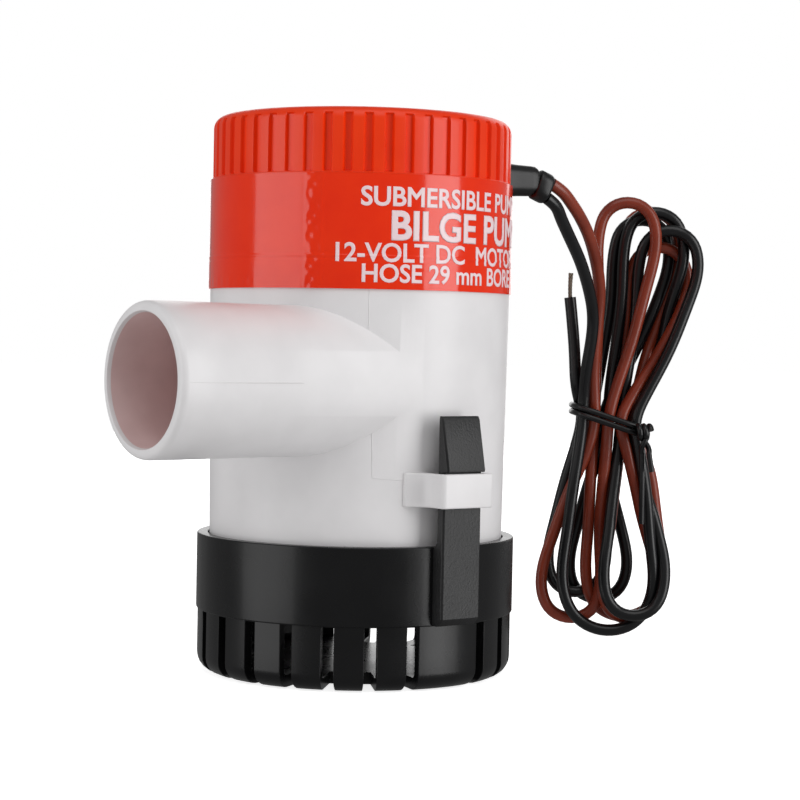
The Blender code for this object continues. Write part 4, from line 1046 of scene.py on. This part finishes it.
# %% Cap
half_pitch = math.pi / RIBS
offsets = np.array((0.0, 0.55, 0.64, 0.72, 0.79, 0.86, 0.94, 1.03, 1.3)) / CAP_RADIUS
offsets = np.append(offsets, half_pitch)          # from a groove's middle to a rib's middle
one_pitch = np.concatenate([-offsets[:0:-1], offsets[:-1]])
rib_turns = ((np.arange(RIBS)[:, None] + 0.5) * 2 * half_pitch + one_pitch).ravel()
from_groove = np.tile(np.abs(one_pitch) * CAP_RADIUS, RIBS)
rib_rows = np.array((RIB_FOOT + 0.02, RIB_FOOT + 0.14, RIB_FOOT + 0.3, 102.0, 105.0, 108.0))
corner_rows = arc((CAP_RADIUS - CAP_CORNER, CAP_TOP - CAP_CORNER), CAP_CORNER, 0, 90, 12)
bore = SKIRT_RADIUS - CAP_WALL
cap_profile = np.concatenate([
    [(0, CAP_TOP - CAP_ROOF), (SLEEVE - SLEEVE_WALL, CAP_TOP - CAP_ROOF),
     (SLEEVE - SLEEVE_WALL, SLEEVE_FOOT), (SLEEVE, SLEEVE_FOOT), (SLEEVE, CAP_TOP - CAP_ROOF),
     (bore, CAP_TOP - CAP_ROOF), (bore, CAP_FOOT), (SKIRT_RADIUS - 0.2, CAP_FOOT),
     (SKIRT_RADIUS, CAP_FOOT + 0.2), (SKIRT_RADIUS, 92.0), (SKIRT_RADIUS, RIB_FOOT - 0.1),
     (CAP_RADIUS, RIB_FOOT)],
    np.column_stack([np.full(len(rib_rows), CAP_RADIUS), rib_rows]),
    corner_rows, [(27.5, CAP_TOP), (20.0, CAP_TOP), (10.0, CAP_TOP), (2.5, CAP_TOP),
                  (DIMPLE_RADIUS, CAP_TOP), (2.1, CAP_TOP - 0.03), (1.95, CAP_TOP - 0.13),
                  (1.85, CAP_TOP - DIMPLE_DEPTH), (1.6, CAP_TOP - DIMPLE_DEPTH),
                  (0.0, CAP_TOP - DIMPLE_DEPTH)]])
radius, height = cap_profile[:, :1], cap_profile[:, 1:]
in_ribs = smooth_step(RIB_FOOT, RIB_FOOT + 0.14, height) * (radius > 25.0)
groove_end = CAP_TOP - GROOVE_TOP
in_ribs = in_ribs * (1 - smooth_step(groove_end - 0.25, groove_end, height))
dip = np.clip(radius - GROOVE_FLOOR, 0, None) * in_ribs
dip = dip * (1 - smooth_step(GROOVE_HALF - 0.17, GROOVE_HALF + 0.13, from_groove))
cap_grid = turned(cap_profile, rib_turns)
cap_grid[..., :2] *= ((radius - dip) / np.maximum(radius, 1e-6))[..., None]
cap = make_piece("cap_ribbed", cap_grid, grid_faces(*cap_grid.shape[:2]).tolist(), 40.0)
dress(cap, "orange_abs", "motor_cap")

# %% [markdown]
# ## Label
# A printed vinyl film is wrapped over the joint of cap and body, and laps over itself on the
# spigot's side. It follows the small step under it, so the joint shows through as a
# line, and it is puckered along its lap. Its radius is one function of angle and height, which
# the print uses too, so the ink lies on the film.

# %% Label surface
SEAM = BODY_TOP + 0.2
FILM = 0.22
FILM_RADIUS, BODY_SIDE_RISE = 30.88, 0.09
LAP_MIDDLE, LAP_HALF = -53.1, 3.5          # degrees
FILM_COLUMNS = 720


def label_radius(swing, height):
    """Film's outer radius: two levels with a ridge between them, a lap, and its puckers."""
    degrees = (np.degrees(swing) + 180) % 360 - 180
    level = FILM_RADIUS + BODY_SIDE_RISE * (1 - smooth_step(SEAM - 0.25, SEAM + 0.25, height))
    ridge = 0.10 * np.exp(-((height - SEAM - 0.15) / 0.22) ** 2)
    dent = 0.06 * np.exp(-((height - SEAM + 0.4) / 0.3) ** 2)
    across_lap = np.abs(degrees - LAP_MIDDLE)
    lap = 0.07 * (1 - smooth_step(LAP_HALF - 0.25, LAP_HALF + 0.1, across_lap))
    near_lap = 1 - smooth_step(LAP_HALF - 1.0, LAP_HALF + 0.6, across_lap)
    pucker = 0.05 * near_lap * (np.sin(height * 1.9 + 1.3 * np.sin(height * 0.7))
                                * np.sin(degrees * 1.4 + height * 0.5))
    low_edge = 0.05 * np.exp(-((height - LABEL_FOOT - 1.2) / 0.9) ** 2)
    low_edge = low_edge * np.sin(degrees * 0.9) * np.sin(degrees * 0.37 + 1.0)
    return level + ridge - dent + lap + pucker + low_edge


# %% Label film
label_turns = full_turn(FILM_COLUMNS)
label_rows = np.unique(np.concatenate([
    np.linspace(LABEL_FOOT, LABEL_TOP, 56), SEAM + np.linspace(-1.2, 0.9, 18)]))
outer = label_radius(label_turns, label_rows[:, None])
edge = np.array((label_rows[0], label_rows[-1]))
film_radius = np.concatenate([outer, np.full((2, FILM_COLUMNS), outer.min() - FILM), outer[:1]])
film_rows = np.concatenate([label_rows, edge[::-1], edge[:1]])
film = about_z(film_radius, label_turns, film_rows[:, None])
label = make_piece("label_film", film, grid_faces(*film.shape[:2]).tolist(), 50.0)
dress(label, "orange_vinyl", "label_band")

# %% [markdown]
# ## Print
# The words on the film say only what such a pump is, in a plain sans letter. A texture would
# blur at this size, so the letters are thin solids, cut into narrow columns and then bent on to
# the film, where angle is the distance along the line divided by the radius.

# %% Print
INK = 0.06
CAPITAL = 0.70                  # height of the font's capitals, in its own units
COLUMN_CUT, ROW_CUT = 1.0, 0.4  # millimetres between slices
PRINT_RADIUS = 31.0
SEAM_CUTS = SEAM + np.linspace(-0.8, 1.0, 13)   # the ridge over the joint needs fine slices
PRINT = (                       # words, angle of their start, foot, height, weight
    ("SUBMERSIBLE PUMP", -36.4, 93.4, 3.6, 0.026),
    ("BILGE PUMP", -25.8, 87.0, 5.4, 0.034),
    ("12-VOLT DC  MOTOR", -46.6, 82.7, 3.5, 0.024),
    ("HOSE 29 mm BORE", -36.0, 78.8, 3.4, 0.024),
)


def lettering(name, words, start, foot, height, weight):
    """Letters thickened by a small bevel, sliced both ways and wrapped on the film."""
    text = bpy.data.curves.new(name, "FONT")
    text.body, text.bevel_depth, text.bevel_resolution = words, weight, 0
    text.resolution_u = 4
    flat = bpy.data.objects.new(name, text)
    mesh = bpy.data.meshes.new_from_object(flat)
    bpy.data.objects.remove(flat)
    shape = bmesh.new()
    shape.from_mesh(mesh)
    bpy.data.meshes.remove(mesh)
    bmesh.ops.remove_doubles(shape, verts=shape.verts, dist=1e-5)
    scale = height / CAPITAL
    end = max(vertex.co.x for vertex in shape.verts)
    seam_cuts = (SEAM_CUTS - foot) / scale
    rows = np.concatenate([np.arange(ROW_CUT / scale, CAPITAL, ROW_CUT / scale),
                           seam_cuts[(seam_cuts > 0) & (seam_cuts < CAPITAL)]])
    columns = np.arange(COLUMN_CUT / scale, end, COLUMN_CUT / scale)
    for cuts, x, y in ((columns, 1, 0), (np.sort(rows), 0, 1)):
        for cut in cuts:
            bmesh.ops.bisect_plane(shape, geom=[*shape.verts, *shape.edges, *shape.faces],
                                   plane_co=(x * cut, y * cut, 0), plane_no=(x, y, 0))
    mesh = bpy.data.meshes.new(name)
    shape.to_mesh(mesh)
    shape.free()
    flat_points = np.zeros(len(mesh.vertices) * 3, np.float32)
    mesh.vertices.foreach_get("co", flat_points)
    flat_points = flat_points.reshape(-1, 3).astype(float)
    swing = math.radians(start) + flat_points[:, 0] * scale / PRINT_RADIUS
    level = foot + flat_points[:, 1] * scale
    radius = label_radius(swing, level) + np.where(flat_points[:, 2] > -weight / 2, INK, -INK)
    radius = radius + np.where(flat_points[:, 2] > weight / 2, INK / 4, 0.0)
    bent = about_z(radius, swing, level) * MM
    mesh.vertices.foreach_set("co", bent.astype(np.float32).ravel())
    mesh.update()
    return linked(name, mesh)


ink = joined("label_print", [lettering(f"line_{k}", *row) for k, row in enumerate(PRINT)])
dress(ink, "white_abs", material=white_ink)

# %% [markdown]
# ## Stage and light
# The object stands on a plain pale floor that meets a pale surrounding, in soft studio light:
# a tall softbox on each side, whose long reflections model the round barrel, one overhead, a weak
# one behind and a lamp under the floor. Area lamps give those clean-edged reflections.

# %% Floor and surroundings
floor_mesh = bpy.data.meshes.new("floor")
FLOOR_HALF, FLOOR_DROP = 4000.0, 0.2
floor_mesh.from_pydata([(x * FLOOR_HALF * MM, y * FLOOR_HALF * MM, -FLOOR_DROP * MM)
                        for x, y in ((-1, -1), (1, -1), (1, 1), (-1, 1))], [], [(0, 1, 2, 3)])
floor = linked("floor", floor_mesh)
floor.data.materials.append(finish(
    "paper_matt_white", "#FAFAFA", "#F8F8F8", 0.9, 0.04, 2.0, 0.01,
    Emission_Color=(1.0, 1.0, 1.0, 1.0), Emission_Strength=0.8))
# The floor glows like a light table, and is left out of what lights and mirrors in the pump,
# so the pump throws next to no shadow on it.
floor.visible_diffuse = False
floor.visible_glossy = False
floor.visible_shadow = False
world = bpy.data.worlds.new("surroundings")
bpy.context.scene.world = world
world.use_nodes = True
# The surrounding shows as full white, but lights the pump at only a share of that.
WORLD_LIGHT = 0.22
paths = add_node(world.node_tree, "ShaderNodeLightPath")
glow = add_node(world.node_tree, "ShaderNodeMapRange", {"To Min": WORLD_LIGHT, "To Max": 1.0},
                {"Value": (paths, "Is Camera Ray")})
surround = world.node_tree.nodes["Background"]
surround.inputs["Color"].default_value = linear("#FFFFFF")
world.node_tree.links.new(glow.outputs["Result"], surround.inputs["Strength"])
bpy.context.scene.view_settings.view_transform = "Standard"


# %% Softboxes
def softbox(name, bearing, distance, height, width, tall, power, mirrored=True):
    """An area lamp facing the pump, bearing degrees to the right of the camera's side."""
    swing = math.radians(bearing)
    way = -math.cos(swing) * view_away + math.sin(swing) * view_right
    lamp = bpy.data.lights.new(name, "AREA")
    lamp.shape, lamp.size, lamp.size_y, lamp.energy = "RECTANGLE", width, tall, power
    made = linked(name, lamp)
    made.location = distance * way + height * view_up
    aim = Vector((0, 0, 0.06)) - made.location
    made.rotation_euler = aim.to_track_quat("-Z", "Y").to_euler()
    made.visible_glossy = mirrored


# Bearing in degrees, then distance, height, width and tallness in metres, then watts.
softbox("softbox_left", -64, 0.8, 0.16, 0.62, 0.9, 3.2)
softbox("softbox_right", 62, 0.8, 0.16, 0.42, 0.9, 4.1)
softbox("softbox_top", 10, 0.5, 0.9, 0.8, 0.8, 2.7)
softbox("softbox_back", 168, 0.9, 0.32, 0.9, 0.7, 2.6)
softbox("light_table", 0, 0.01, -0.25, 2.4, 2.4, 5.0, mirrored=False)
